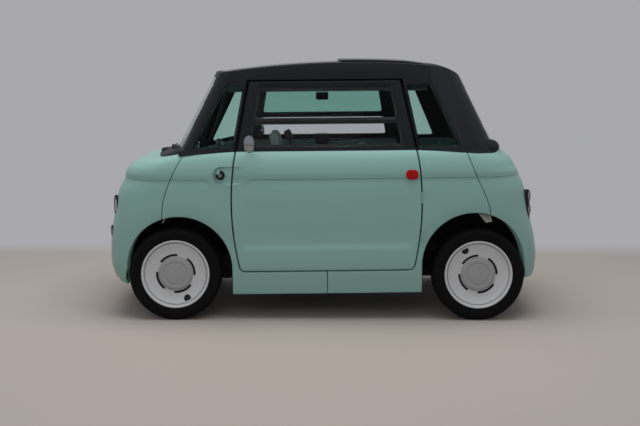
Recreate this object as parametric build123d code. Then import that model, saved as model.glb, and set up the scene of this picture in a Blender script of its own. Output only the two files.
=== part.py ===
from build123d import *
import math
import os

# Two-seat microcar, millimetres. The car is drawn level, with x forward from
# the middle of the wheelbase, y to the left and z up from the floor. It is then
# pitched nose-down by RAKE and slid so that x = 0 is the middle of its length.

# ---------------------------------------------------------------- driving sizes
WHEELBASE = 1728.0
TYRE_R = 263.0
TYRE_W = 156.0
WHEEL_Y = 600.0          # tyre centre plane, from the middle of the car
KINGPIN_Y = 588.0
RAKE = 0.77              # degrees, nose-down
PIVOT_Z = 330.0          # height that the rake turns about

FRONT_MAX = 1284.0       # furthest forward, from the middle of the wheelbase
REAR_MAX = 1253.0
WALL = 40.0              # door, wing and end panel thickness
FRAME_WALL = 34.0        # thickness of the upper frame
GLASS = 5.0
SEAT_GAP = 0.3           # clearance of one piece seated in another
RUN_GAP = 0.05           # clearance of a pin or spindle in its bore

END_BOW_R = 4600.0       # plan radius of the nose and the tail
SIDE_BOW_R = 31000.0     # plan radius of the sides
SCREEN_BOW_R = 2200.0    # plan radius of the windscreen and the rear window
CANOPY_SIDE_R = 40000.0

# Plan outlines of the lower body, one row for each height.
# z, half width, front x, rear x, corner radius
LOWER_ROWS = (
    (150, 655, 1180, -1170, 200),
    (205, 666, 1228, -1224, 220),
    (250, 673, 1264, -1245, 228),
    (340, 685, FRONT_MAX, -REAR_MAX, 232),
    (450, 688, 1282, -1241, 232),
    (600, 694, 1260, -1205, 230),
    (740, 694, 1230, -1180, 228),
    (815, 689, 1190, -1148, 225),
)
# The upper body overhangs the lower one along the crease.
UPPER_ROWS = (
    (815, 698, 1192, -1150, 228),
    (865, 694, 1180, -1126, 225),
    (910, 685, 1144, -1100, 215),
    (945, 671, 1106, -1060, 205),
    (970, 650, 1072, -1040, 190),
)
CREASE_Z = 815.0
BELT_Z = 970.0
# Plan outlines of the glasshouse: straight lines join the two rows.
CANOPY_ROWS = (
    (970, 648, 903, -1033, 100),
    (1560, 492, 586, -735, 100),
)
# Roof line on the middle of the car, x and z.
ROOF_LINE = ((720, 1420), (668, 1427), (-57, 1488), (-620, 1468), (-770, 1416), (-850, 1330))
# Top of the raised rear roof skin, which runs out towards the hoop
ROOF_SKIN_LINE = ((720, 1431), (668, 1438), (-57, 1499), (-480, 1488), (-540, 1480), (-592, 1472.5))
ROOF_CROWN_R = 6000.0
ROOF_STEP = 11.0

# Doors
DOOR_HALF = 540.0        # half length at the widest height, middle of the gap
DOOR_WIDEST_Z = 677.0
DOOR_EDGE_R = 1687.0
DOOR_SILL_Z = 285.0      # middle of the gap under the door
DOOR_TOP_Z = 1368.0
DOOR_TOP_FRONT = 442.0
DOOR_TOP_REAR = -435.0
DOOR_GAP = 10.0
FRAME_GAP = 16.0         # wider gap beside the inclined upper frame
DOOR_CORNER_R = 34.0

# Wheel arches: x and z of the centre, radius
FRONT_ARCH = (845.0, 298.0, 305.0)
REAR_ARCH = (-840.0, 308.0, 300.0)
WELL_Y = 385.0           # inner side of a wheel well
FRONT_BUMPER_Z = 205.0
REAR_BUMPER_Z = 216.0

# Underbody
FLOOR_Z = 190.0
FLOOR_T = 40.0
FLOOR_HALF = 340.0
FLOOR_END = 1190.0


# ---------------------------------------------------------------- helpers
VIEWS = {
    "side": (Plane.XZ, Vector(0, 1, 0)),
    "front": (Plane.YZ, Vector(1, 0, 0)),
    "top": (Plane.XY, Vector(0, 0, 1)),
}


def prism(view, face, low, high):
    """A face drawn in a view, extruded between two distances along that view."""
    plane, axis = VIEWS[view]
    return extrude(Location(axis * low) * (plane * face), amount=high - low, dir=axis)


def outline(points, radius=0):
    """A closed face with straight sides and rounded corners."""
    if radius:
        return make_face(FilletPolyline(*points, radius=radius, close=True))
    return make_face(Polyline(*points, close=True))


def block(x_low, x_high, y_low, y_high, z_low, z_high):
    size = Box(x_high - x_low, y_high - y_low, z_high - z_low)
    return Pos((x_low + x_high) / 2, (y_low + y_high) / 2, (z_low + z_high) / 2) * size


def rod(start, end, radius):
    """A round bar between two points."""
    direction = Vector(*end) - Vector(*start)
    return extrude(Plane(origin=start, z_dir=direction) * Circle(radius), amount=direction.length)


def mirrored(shape):
    """The same shape on the other side of the car."""
    return mirror(shape, about=Plane.XZ)


def pair(shape):
    return Compound(children=shape.solids() + mirrored(shape).solids())


def level_point(x, z):
    """The place in the level drawing of a point of the car on its wheels."""
    turn = math.radians(RAKE)
    level_x = x * math.cos(turn) - (z - PIVOT_Z) * math.sin(turn)
    level_z = PIVOT_Z + (z - PIVOT_Z) * math.cos(turn) + x * math.sin(turn)
    return level_x, level_z


def row_at(rows, z):
    """Half width, front, rear and corner radius at a height, between two rows."""
    for low, high in zip(rows, rows[1:]):
        if z <= high[0]:
            share = (z - low[0]) / (high[0] - low[0])
            return [a + (b - a) * share for a, b in zip(low[1:], high[1:])]
    return rows[-1][1:]


def corner_points(x_end, half_width, corner_r, end_r, side_r):
    """Where a corner arc meets the end arc and the side arc, and its middle."""
    end = Vector(x_end - end_r, 0)
    side = Vector(0, half_width - side_r)
    reach_end, reach_side = end_r - corner_r, side_r - corner_r
    span = (side - end).length
    along = (reach_end ** 2 - reach_side ** 2 + span ** 2) / (2 * span)
    across = math.sqrt(reach_end ** 2 - along ** 2)
    unit = (side - end).normalized()
    centre = end + unit * along + Vector(-unit.Y, unit.X) * across
    if centre.Y < 0:
        centre = end + unit * along - Vector(-unit.Y, unit.X) * across
    to_end = (centre - end).normalized()
    to_side = (centre - side).normalized()
    middle = centre + (to_end + to_side).normalized() * corner_r
    return end + to_end * end_r, middle, side + to_side * side_r


def plan_face(z, half_width, front, rear, corner_r, end_r, side_r):
    """A rounded plan outline: bowed ends and sides joined by corner arcs."""
    f_end, f_mid, f_side = corner_points(front, half_width, corner_r, end_r, side_r)
    r_end, r_mid, r_side = corner_points(-rear, half_width, corner_r, end_r, side_r)

    def at(point, x_sign=1, y_sign=1):
        return (point.X * x_sign, point.Y * y_sign, z)

    arcs = (
        (at(f_end, 1, -1), (front, 0, z), at(f_end)),
        (at(f_end), at(f_mid), at(f_side)),
        (at(f_side), (0, half_width, z), at(r_side, -1)),
        (at(r_side, -1), at(r_mid, -1), at(r_end, -1)),
        (at(r_end, -1), (rear, 0, z), at(r_end, -1, -1)),
        (at(r_end, -1, -1), at(r_mid, -1, -1), at(r_side, -1, -1)),
        (at(r_side, -1, -1), (0, -half_width, z), at(f_side, 1, -1)),
        (at(f_side, 1, -1), at(f_mid, 1, -1), at(f_end, 1, -1)),
    )
    return Face(Wire([Edge.make_three_point_arc(*arc) for arc in arcs]))


def stack(rows, inset, end_r, side_r, ruled):
    """A loft of plan outlines, each drawn in by the inset."""
    faces = [
        plan_face(z, half - inset, front - inset, rear + inset,
                  max(corner - inset, 20), end_r - inset, side_r - inset)
        for z, half, front, rear, corner in rows
    ]
    return loft(faces, ruled=ruled)


def lower_body(inset=0):
    return stack(LOWER_ROWS, inset, END_BOW_R, SIDE_BOW_R, False)


def upper_body(inset=0):
    return stack(UPPER_ROWS, inset, END_BOW_R, SIDE_BOW_R, False)


def roof_limit(drop, line=ROOF_LINE):
    """Everything under the crowned roof surface, lowered by a drop."""
    x = [point[0] for point in line]
    z = [point[1] - drop for point in line]
    low = 700
    edges = [
        Line((x[0] + 400, low), (x[0] + 400, z[0] - 50)),
        Line((x[0] + 400, z[0] - 50), (x[1], z[1])),
        ThreePointArc((x[1], z[1]), (x[2], z[2]), (x[3], z[3])),
        ThreePointArc((x[3], z[3]), (x[4], z[4]), (x[5], z[5])),
        Line((x[5], z[5]), (x[5] - 500, z[5] - 780 + 0.1)),
        Line((x[5] - 500, z[5] - 780 + 0.1), (x[0] + 400, low)),
    ]
    face = Plane.XZ * make_face(Curve(edges))
    crown = Axis((0, 0, z[2] - ROOF_CROWN_R), (1, 0, 0))
    half_turn = 8.0
    turned = face.rotate(crown, -half_turn)
    return revolve(turned, axis=crown, revolution_arc=2 * half_turn)


def canopy(inset=0, base=BELT_Z):
    """The glasshouse from its base up to the roof, drawn in by the inset."""
    (z0, *low), (z1, *high) = CANOPY_ROWS
    share = (base - z0) / (z1 - z0)
    foot = [a + (b - a) * share for a, b in zip(low, high)]
    slope = 1.12
    rows = []
    for z, (half, front, rear, corner) in ((base, foot), (z1, high)):
        rows.append((z, half + inset * (1 - 1.03), front - inset * (slope - 1),
                     rear + inset * (slope - 1), corner))
    return stack(rows, inset, SCREEN_BOW_R, CANOPY_SIDE_R, True) & roof_limit(inset)


def edge_x(z):
    """Half length of the door opening at a height below the belt."""
    drop = z - DOOR_WIDEST_Z
    return DOOR_HALF - DOOR_EDGE_R + math.sqrt(DOOR_EDGE_R ** 2 - drop ** 2)


def door_outline(grow, frame_grow):
    """Side view of the door, larger or smaller than the middle of its gap."""
    sill = DOOR_SILL_Z - grow
    top = DOOR_TOP_Z + grow
    foot = edge_x(sill) + grow
    belt = edge_x(BELT_Z) + grow
    frame_belt = edge_x(BELT_Z) + frame_grow
    widest = DOOR_HALF + grow
    front_top = DOOR_TOP_FRONT + frame_grow
    rear_top = DOOR_TOP_REAR - frame_grow
    skin = make_face(Curve([
        Line((-foot, sill), (foot, sill)),
        ThreePointArc((foot, sill), (widest, DOOR_WIDEST_Z), (belt, BELT_Z)),
        Line((belt, BELT_Z), (-belt, BELT_Z)),
        ThreePointArc((-belt, BELT_Z), (-widest, DOOR_WIDEST_Z), (-foot, sill)),
    ]))
    low_corners = skin.vertices().sort_by(Axis.Y)[:2]
    skin = fillet(low_corners, DOOR_CORNER_R)
    frame = outline([(frame_belt, BELT_Z), (front_top, top), (rear_top, top), (-frame_belt, BELT_Z)])
    return skin, frame


def split_door(grow, frame_grow):
    """Prisms on the left side for the painted skin and the upper frame of a door."""
    skin, frame = door_outline(grow, frame_grow)
    return prism("side", skin, 300, 760), prism("side", frame, 300, 760)


# ---------------------------------------------------------------- body shell
def body_wall():
    """The whole lower body as one wall, open above the cabin and underneath."""
    inner_low = lower_body(WALL)
    bottom = inner_low.faces().sort_by(Axis.Z)[0]
    inner_low += extrude(bottom, amount=60, dir=(0, 0, -1))
    inner_top = upper_body(WALL) & block(-2000, 2000, -900, 900, CREASE_Z - 5, BELT_Z - WALL)
    wall = lower_body() + upper_body()
    wall -= inner_low
    wall -= inner_top
    wall -= canopy(FRAME_WALL, BELT_Z - 60)
    return wall


def arch_cut(arch):
    """Opening of one pair of wheel arches, right across the car."""
    x, z, radius = arch
    round_part = prism("side", Pos(x, z) * Circle(radius), -900, 900)
    straight = block(x - radius, x + radius, -900, 900, 60, z)
    return round_part + straight


# Seams between the end panels and the wings, x and z from the belt down.
FRONT_SEAM = ((806, 980), (930, 660), (936, 560), (936, 100))
REAR_SEAM = ((-786, 980), (-852, 815), (-906, 694), (-930, 606), (-930, 100))


def seam_zone(seam, x_far):
    return prism("side", outline([*seam, (x_far, seam[-1][1]), (x_far, seam[0][1])]), -900, 900)


def body_panels():
    """Painted panels of the lower body, keyed by node name."""
    wall = body_wall() - arch_cut(FRONT_ARCH) - arch_cut(REAR_ARCH)
    front_zone = seam_zone(FRONT_SEAM, 1500)
    rear_zone = seam_zone(REAR_SEAM, -1500)
    under_front = block(1100, 1500, -900, 900, 0, FRONT_BUMPER_Z)
    under_rear = block(-1500, -1100, -900, 900, 0, REAR_BUMPER_Z)
    panels = {
        "front_panel": (wall & front_zone) - under_front,
        "rear_panel": (wall & rear_zone) - under_rear,
    }
    side = (wall - front_zone - rear_zone) & block(-1500, 1500, 0, 900, 0, 1100)
    opening, frame_opening = split_door(DOOR_GAP / 2, FRAME_GAP / 2)
    door, frame_zone = split_door(-DOOR_GAP / 2, -FRAME_GAP / 2)
    skin = (side & door).solids().sort_by(SortBy.VOLUME)[-1]
    side -= opening
    for name, x_low, x_high in (("wing_front", 0, 1500), ("wing_rear", -1500, 0)):
        wing = (side & block(x_low, x_high, 0, 900, 0, 1100)).solids().sort_by(SortBy.VOLUME)[-1]
        panels[name + "_left"] = wing
        panels[name + "_right"] = mirrored(wing)
    return panels, skin


# ---------------------------------------------------------------- glasshouse
# Side windows in side view: outer edge of each pane, from the belt forwards.
FRONT_QUARTER = ((526, 982), (771, 982), (576, 1339), (462, 1341))
REAR_QUARTER = ((-526, 982), (-455.5, 1341), (-611.5, 1340), (-768, 982))
PANE_BORDER = 24.0
QUARTER_BORDER = 10.0
DOOR_PANE_HALF = (440.0, 378.0)     # half width at the foot and at the top
DOOR_PANE_Z = (992.0, 1344.0)
DOOR_BAR_Z = 1136.0
DOOR_BAR_H = 16.0
DOOR_PANE_BORDER = 10.0
# Windscreen, rear window and roof pane: half width low and high, height low and high
SCREEN = (560, 476, 988, 1392)
REAR_SCREEN = (545, 450, 1000, 1312)
# Roof pane: rear and front x, half width
ROOF_PANE = (-83, 612, 418)
HOOP_SEAM = ((-600, 1600), (-600, 1451), (-613, 1352), (-784, 960))


def pane(face, view, low, high, border):
    """A flush pane, its pocket and the aperture under its bonded border."""
    aperture = prism(view, offset(face, -border), low, high)
    pocket = prism(view, offset(face, SEAT_GAP), low, high)
    return prism(view, face, low, high), pocket, aperture


def window_panes():
    """Every fixed pane as (solid, pocket, aperture), keyed by name."""
    low_w, high_w, low_z, high_z = SCREEN
    screen = outline([(-low_w, low_z), (low_w, low_z), (high_w, high_z), (-high_w, high_z)], 40)
    low_w, high_w, low_z, high_z = REAR_SCREEN
    rear = outline([(-low_w, low_z), (low_w, low_z), (high_w, high_z), (-high_w, high_z)], 40)
    x_low, x_high, half = ROOF_PANE
    roof = outline([(x_low, -half), (x_high, -half), (x_high, half), (x_low, half)], 40)
    return {
        "windscreen": pane(screen, "front", 500, 1200, PANE_BORDER),
        "rear_window": pane(rear, "front", -1300, -650, PANE_BORDER),
        "roof_glass": pane(roof, "top", 1300, 1700, PANE_BORDER),
        "front_quarter": pane(outline(FRONT_QUARTER, 22), "side", 300, 760, QUARTER_BORDER),
        "rear_quarter": pane(outline(REAR_QUARTER, 22), "side", 300, 760, QUARTER_BORDER),
    }


def glasshouse():
    """Frame, hoop, roof skin, fixed glass and the left door's upper parts."""
    outer, under_glass = canopy(), canopy(GLASS + SEAT_GAP)
    shell = outer - canopy(FRAME_WALL, BELT_Z - 30)
    glass_skin = outer - canopy(GLASS, BELT_Z - 30)
    pocket_skin = outer - under_glass
    nodes = {}
    cage = shell
    for name, (solid, pocket, aperture) in window_panes().items():
        glass = glass_skin & solid
        cut = (pocket_skin & pocket) + aperture
        if name.endswith("quarter"):
            cage = cage - cut - mirrored(cut)
            nodes[name] = pair(glass)
        else:
            cage -= cut
            nodes[name] = glass
    nodes["quarter_glasses"] = Compound(
        children=nodes.pop("front_quarter").solids() + nodes.pop("rear_quarter").solids())
    _, opening = split_door(DOOR_GAP / 2, FRAME_GAP / 2)
    cage = cage - opening - mirrored(opening)
    hoop_zone = prism("side", outline([*HOOP_SEAM, (-1500, 960), (-1500, 1600)]), -900, 900)
    nodes["rear_hoop"] = cage & hoop_zone
    nodes["cabin_frame"] = cage - hoop_zone
    _, door_zone = split_door(-DOOR_GAP / 2, -FRAME_GAP / 2)
    door_frame = (shell & door_zone).solids().sort_by(SortBy.VOLUME)[-1]
    (foot_half, top_half), (z_low, z_high) = DOOR_PANE_HALF, DOOR_PANE_Z
    door_glass = []
    half_bar = DOOR_BAR_H / 2
    for low, high in ((z_low, DOOR_BAR_Z - half_bar), (DOOR_BAR_Z + half_bar, z_high)):
        low_x, high_x = (foot_half + (top_half - foot_half) * (z - z_low) / (z_high - z_low) for z in (low, high))
        face = outline([(-low_x, low), (low_x, low), (high_x, high), (-high_x, high)], 22)
        solid, pocket, aperture = pane(face, "side", 300, 760, DOOR_PANE_BORDER)
        door_frame = door_frame - (pocket_skin & pocket) - aperture
        door_glass += (glass_skin & solid).solids()
    roof_skin = canopy(-ROOF_STEP) - outer
    plan = outline([(ROOF_PANE[0] - 6, -440), (ROOF_PANE[0] - 6, 440), (-592, 440), (-592, -440)], 30)
    nodes["roof_rear"] = roof_skin & prism("top", plan, 1300, 1700) & roof_limit(0, ROOF_SKIN_LINE)
    return nodes, door_frame, Compound(children=door_glass)


# ---------------------------------------------------------------- doors
HINGE_Y = 689.0          # hinge line, on the outer skin beside the door's edge
HINGE_PIN_R = 3.0
HINGE_BARREL_R = 6.0
HINGE_EAR_H = 14.0
HINGE_BARREL_H = 36.0
HINGE_HEIGHTS = (480.0, 700.0)
HINGE_REACH = 14.0       # how far each leaf runs into the panel it is fixed to
HINGE_CLEAR = 3.0        # room round a barrel in the opposite panel's edge
HINGE_PLAY = 0.5         # end play between a barrel and its ears
MIRROR = (430.0, 752.0, 1017.0)
MIRROR_SIZE = (66.0, 54.0, 100.0)
MIRROR_STEM_R = 8.0
MIRROR_STEM_Y = 600.0    # the stem is drawn from here and cut back to the door frame


def hinge_set(side):
    """Hinges on the left of the car: door leaves, body ears and the notches for them.

    side is 1 for a hinge at the door's front edge and -1 at its rear edge."""
    x = side * DOOR_HALF
    leaf_y = (HINGE_Y - 3 * HINGE_BARREL_R, HINGE_Y - 0.7 * HINGE_BARREL_R)
    leaves, ears, notches = [], [], []
    for z in HINGE_HEIGHTS:
        half = HINGE_BARREL_H / 2
        ear_top = half + HINGE_PLAY + HINGE_EAR_H
        inner = side * (edge_x(z) - DOOR_GAP / 2 - HINGE_REACH)
        outer = side * (DOOR_HALF + HINGE_BARREL_R + HINGE_CLEAR + HINGE_REACH)
        barrel = Pos(x, HINGE_Y, z) * Cylinder(HINGE_BARREL_R, HINGE_BARREL_H)
        barrel += block(*sorted((x, inner)), *leaf_y, z - half, z + half)
        leaves.append(barrel - Pos(x, HINGE_Y, z) * Cylinder(HINGE_PIN_R + RUN_GAP, HINGE_BARREL_H + 2))
        ear_pair = Pos(x, HINGE_Y, z) * Cylinder(HINGE_PIN_R, 2 * ear_top)
        for low, high in ((half + HINGE_PLAY, ear_top), (-ear_top, -half - HINGE_PLAY)):
            ear_pair += Pos(x, HINGE_Y, z + (low + high) / 2) * Cylinder(HINGE_BARREL_R, HINGE_EAR_H)
            ear_pair += block(*sorted((x, outer)), *leaf_y, z + low, z + high)
        ears.append(ear_pair)
        room = HINGE_BARREL_R + HINGE_CLEAR
        notch = Pos(x, HINGE_Y, z) * Cylinder(room, 2 * ear_top + 2 * HINGE_CLEAR)
        slot = block(*sorted((x + side * room, x - side * 2 * room)), leaf_y[0] - HINGE_CLEAR,
                     HINGE_Y + 2 * room, z - half - HINGE_PLAY / 2, z + half + HINGE_PLAY / 2)
        notches.append((notch, slot))
    return leaves, ears, notches


def mirror_pod():
    """Egg-shaped mirror on a short stem, on the left door."""
    x, y, z = MIRROR
    width, depth, height = MIRROR_SIZE
    egg = Pos(x, y, z) * scale(Sphere(50), (width / 100, depth / 100, height / 100))
    stem = rod((x, MIRROR_STEM_Y, z - 6), (x, y, z - 6), MIRROR_STEM_R)
    return egg + stem


# ---------------------------------------------------------------- wheels
def tyre():
    """Tyre about the y axis, its middle plane at y = 0."""
    half = TYRE_W / 2
    bead_r, bead_y = 190.0, 60.0
    profile = make_face(Curve([
        Line((bead_r, -bead_y), (bead_r, bead_y)),
        Line((bead_r, bead_y), (198, bead_y + 8)),
        ThreePointArc((198, bead_y + 8), (228, half), (250, half - 8)),
        ThreePointArc((250, half - 8), (259, half - 15), (TYRE_R - 1, half - 26)),
        ThreePointArc((TYRE_R - 1, half - 26), (TYRE_R, 0), (TYRE_R - 1, 26 - half)),
        ThreePointArc((TYRE_R - 1, 26 - half), (259, 15 - half), (250, 8 - half)),
        ThreePointArc((250, 8 - half), (228, -half), (198, -bead_y - 8)),
        Line((198, -bead_y - 8), (bead_r, -bead_y)),
    ]))
    return revolve(profile, axis=Axis.Y)


SPINDLE_R = 15.0
SPINDLE_END_Y = 46.0     # end of the spindle, outwards from the tyre's middle plane
HUB_Y = 8.0              # inner end of the hub, likewise
HUB_PLAY = 2.0
HUB_R = 42.0
RIM_R = 189.0
SLOT_R = (100.0, 113.0)
SLOT_SPAN = 57.0
SLOT_TURN = 24.0


def rim(turn):
    """Steel wheel with a dished cover and four curved slots, outer face at +y."""
    bore = SPINDLE_R + RUN_GAP
    profile = make_face(Polyline(
        (bore, HUB_Y), (HUB_R, HUB_Y), (HUB_R, 40), (63, 44), (98, 40), (101, 34), (112, 34),
        (150, 40), (168, 46), (168, -58), (182, -66), (195, -72), (195, -66), (RIM_R, -62),
        (RIM_R - 1, 62), (195, 66), (194, 72), (186, 70), (178, 62), (172, 60), (160, 52),
        (108, 43), (98, 50), (63, 56), (0, 58), (0, 48), (bore, 48), close=True))
    wheel = revolve(profile, axis=Axis.Y)
    low, high = SLOT_R
    for count in range(4):
        middle = turn + SLOT_TURN + 90 * count
        ring = Circle(high) - Circle(low)
        reach = 2 * high
        spread = math.radians(SLOT_SPAN / 2)
        wedge = outline([(0, 0), (reach * math.cos(spread), -reach * math.sin(spread)),
                         (reach * math.cos(spread), reach * math.sin(spread))])
        arc = prism("side", Rot(0, 0, middle) * (ring & wedge), 20, 70)
        wheel -= arc
    return wheel


def wheel_place(shape, x, z, side):
    """A wheel part moved to its axle, its outer face on the given side."""
    placed = Pos(x, WHEEL_Y, z) * shape
    return placed if side > 0 else mirrored(placed)


FRONT_X, FRONT_Z = level_point(WHEELBASE / 2, TYRE_R)
REAR_X, REAR_Z = level_point(-WHEELBASE / 2, TYRE_R)
KNUCKLE_R = 17.0
KNUCKLE_HALF = 102.0     # half height of the steering knuckle
PIN_R = 9.0
PIN_LENGTH = 20.0
ARM_T = 18.0


def knuckle():
    """Upright with its stub spindle and the two pins it steers on."""
    upright = Pos(FRONT_X, KINGPIN_Y, FRONT_Z) * Cylinder(KNUCKLE_R, 2 * KNUCKLE_HALF)
    for way in (-1, 1):
        middle = FRONT_Z + way * (KNUCKLE_HALF + PIN_LENGTH / 2)
        upright += Pos(FRONT_X, KINGPIN_Y, middle) * Cylinder(PIN_R, PIN_LENGTH)
    hub_y = WHEEL_Y + HUB_Y - HUB_PLAY
    boss = rod((FRONT_X, KINGPIN_Y - 34, FRONT_Z), (FRONT_X, hub_y, FRONT_Z), 34)
    spindle = rod((FRONT_X, KINGPIN_Y, FRONT_Z), (FRONT_X, WHEEL_Y + SPINDLE_END_Y, FRONT_Z), SPINDLE_R)
    return upright + boss + spindle


def front_suspension():
    """Cross tube, turrets and the arms that carry both knuckles."""
    turret_y = WELL_Y - 62
    half_side = block(FRONT_X - 40, FRONT_X + 40, turret_y - 40, turret_y, FLOOR_Z + FLOOR_T,
                      FRONT_Z + KNUCKLE_HALF + ARM_T + 6)
    for way in (-1, 1):
        z = FRONT_Z + way * (KNUCKLE_HALF + 1 + ARM_T / 2)
        arm = block(FRONT_X - 17, FRONT_X + 17, turret_y - 40, KINGPIN_Y, z - ARM_T / 2, z + ARM_T / 2)
        arm += Pos(FRONT_X, KINGPIN_Y, z) * Cylinder(22, ARM_T)
        arm -= Pos(FRONT_X, KINGPIN_Y, z) * Cylinder(PIN_R + RUN_GAP, ARM_T + 2)
        half_side += arm
    lower_z = FRONT_Z - KNUCKLE_HALF - 1 - ARM_T
    half_side += block(FRONT_X - 40, FRONT_X + 40, turret_y - 40, turret_y, lower_z, FLOOR_Z)
    cross = block(FRONT_X - 30, FRONT_X + 30, -turret_y, turret_y, lower_z, lower_z + 30)
    return half_side + mirrored(half_side) + cross - floor_pan()


BEAM_R = 30.0
TROUGH_HALF = 60.0       # half width of the trough that the rear beam crosses in the floor


def rear_axle():
    """Beam axle with its two stub spindles and the saddles under it."""
    hub_y = WHEEL_Y + HUB_Y - HUB_PLAY
    beam = rod((REAR_X, -hub_y, REAR_Z), (REAR_X, hub_y, REAR_Z), BEAM_R)
    beam += rod((REAR_X, -WHEEL_Y - SPINDLE_END_Y, REAR_Z), (REAR_X, WHEEL_Y + SPINDLE_END_Y, REAR_Z),
                SPINDLE_R)
    half = TROUGH_HALF + 30
    saddle = block(REAR_X - half, REAR_X + half, 240, 300, FLOOR_Z + FLOOR_T, REAR_Z + BEAM_R + 10)
    return beam + saddle + mirrored(saddle) - floor_pan()


# ---------------------------------------------------------------- underbody and cabin
# Round jacking pads under the floor
JACK_X, JACK_Y = 430.0, 540.0
JACK_PAD_R = 40.0
JACK_PAD_T = 8.0


def floor_pan():
    """Flat floor with jacking pads: wide between the wheel wells, narrow under both ends."""
    wide = 622.0
    half = 528.0
    points = [(half, wide), (half, FLOOR_HALF), (FLOOR_END, FLOOR_HALF),
              (FLOOR_END, -FLOOR_HALF), (half, -FLOOR_HALF), (half, -wide),
              (-half, -wide), (-half, -FLOOR_HALF), (-FLOOR_END, -FLOOR_HALF),
              (-FLOOR_END, FLOOR_HALF), (-half, FLOOR_HALF), (-half, wide)]
    pan = prism("top", outline(points), FLOOR_Z, FLOOR_Z + FLOOR_T) & lower_body(WALL + SEAT_GAP)
    for x in (-JACK_X, JACK_X):
        for y in (-JACK_Y, JACK_Y):
            pan += Pos(x, y, FLOOR_Z - JACK_PAD_T / 2) * Cylinder(JACK_PAD_R, JACK_PAD_T)
    trough = block(REAR_X - TROUGH_HALF, REAR_X + TROUGH_HALF, -FLOOR_HALF - 1, FLOOR_HALF + 1,
                   REAR_Z - BEAM_R - 4, 400)
    return pan - trough


def arch_liners():
    """Inner lining of the four wheel wells, open towards the wheel."""
    liners = []
    for x, z, radius in (FRONT_ARCH, REAR_ARCH):
        half_ring = prism("side", Pos(x, z) * (Circle(radius + 6) - Circle(radius)), WELL_Y, 640)
        ring = half_ring & block(x - 400, x + 400, 0, 900, z, z + 400)
        cheek = prism("side", Pos(x, z) * Circle(radius + 6), WELL_Y - 6, WELL_Y)
        cheek &= block(x - 400, x + 400, 0, 900, z + 120, z + 400)
        liner = (ring + cheek) & (lower_body(WALL + SEAT_GAP))
        liners += liner.solids() + mirrored(liner).solids()
    return Compound(children=liners)


FIREWALL_X = 740.0
BULKHEAD_X = -560.0
SHELF_Z = 860.0


def bulkheads(wells):
    """Firewall ahead of the feet, and the rear wall with its shelf."""
    inside = lower_body(WALL + SEAT_GAP) + (
        upper_body(WALL + SEAT_GAP) & block(-2000, 2000, -900, 900, CREASE_Z - 5, BELT_Z - WALL))
    top = FLOOR_Z + FLOOR_T
    firewall = block(FIREWALL_X, FIREWALL_X + 14, -700, 700, top, BELT_Z - WALL - 1)
    rear = block(BULKHEAD_X - 14, BULKHEAD_X, -700, 700, top, SHELF_Z)
    shelf = block(-1300, BULKHEAD_X, -700, 700, SHELF_Z - 12, SHELF_Z)
    walls = (firewall + rear + shelf) & inside
    return walls - wells


def dashboard():
    """Full-width dashboard with a rounded top edge, against the firewall."""
    points = [(FIREWALL_X, 930), (FIREWALL_X, 700), (690, 700), (640, 800), (620, 900), (650, 930)]
    body = prism("side", outline(points, 12), -560, 560)
    pod = prism("side", outline([(FIREWALL_X, 930), (610, 930), (640, 990), (700, 990)], 10), 230, 470)
    return body + pod


STEER_CENTRE = (560.0, 350.0, 868.0)
STEER_TILT = 26.0        # column's slope above the level
STEER_RING_R = 170.0
STEER_GRIP_R = 14.0
COLUMN_R = 22.0


def steer_axis():
    turn = math.radians(STEER_TILT)
    return Vector(-math.cos(turn), 0, math.sin(turn))


def steering_wheel():
    plane = Plane(origin=STEER_CENTRE, z_dir=steer_axis(), x_dir=(0, 1, 0))
    ring = plane * Torus(STEER_RING_R, STEER_GRIP_R)
    hub = plane * Pos(0, 0, -14) * Cylinder(46, 40)
    bar = plane * Pos(0, 0, -8) * Box(2 * STEER_RING_R, 34, 14)
    stem = plane * Pos(0, 0, -8) * Pos(0, -STEER_RING_R / 2, 0) * Box(34, STEER_RING_R, 14)
    return ring + hub + bar + stem - plane * Pos(0, 0, -60) * Cylinder(16 + RUN_GAP, 80)


def steering_column():
    plane = Plane(origin=STEER_CENTRE, z_dir=steer_axis(), x_dir=(0, 1, 0))
    column = plane * Pos(0, 0, -115) * Cylinder(COLUMN_R, 150)
    nose = plane * Pos(0, 0, -50) * Cylinder(16, 50)
    return (column + nose - dashboard()).solids().sort_by(SortBy.VOLUME)[-1]


# Seats in side view: cushion then back, x and z.
DRIVER_CUSHION = ((120, 420), (495, 440), (505, 500), (460, 520), (120, 505))
DRIVER_BACK = ((130, 430), (185, 430), (330, 1048), (316, 1066), (286, 1064), (270, 1040))
PASSENGER_CUSHION = ((-195, 420), (200, 440), (210, 500), (160, 520), (-195, 505))
PASSENGER_BACK = ((-200, 430), (-150, 430), (-230, 940), (-250, 955), (-285, 945), (-280, 920))
SEAT_Y = 310.0
SEAT_HALF = 195.0


def seat(cushion, back, y):
    low, high = y - SEAT_HALF, y + SEAT_HALF
    body = prism("side", outline(cushion, 10), low, high)
    body += prism("side", outline(back, 10), low + 8, high - 8)
    x_low = cushion[0][0]
    body += block(x_low + 30, x_low + 300, y - 130, y + 130, FLOOR_Z + FLOOR_T, 436)
    return body


# ---------------------------------------------------------------- lamps, wiper, fittings
# Lamps on the left side: y, z, half size, outward turn in degrees
HEADLAMP = (486.0, 650.0, 64.0, 17.0)
SMALL_LAMP = (500.0, 505.0, 34.0, 19.0)
TAIL_LAMP = (505.0, 629.0, 36.0, 20.0)
TAIL_LAMP_H = 188.0
LAMP_PROUD = 8.0
TAIL_PROUD = 22.0
LAMP_DEPTH = 46.0


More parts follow.
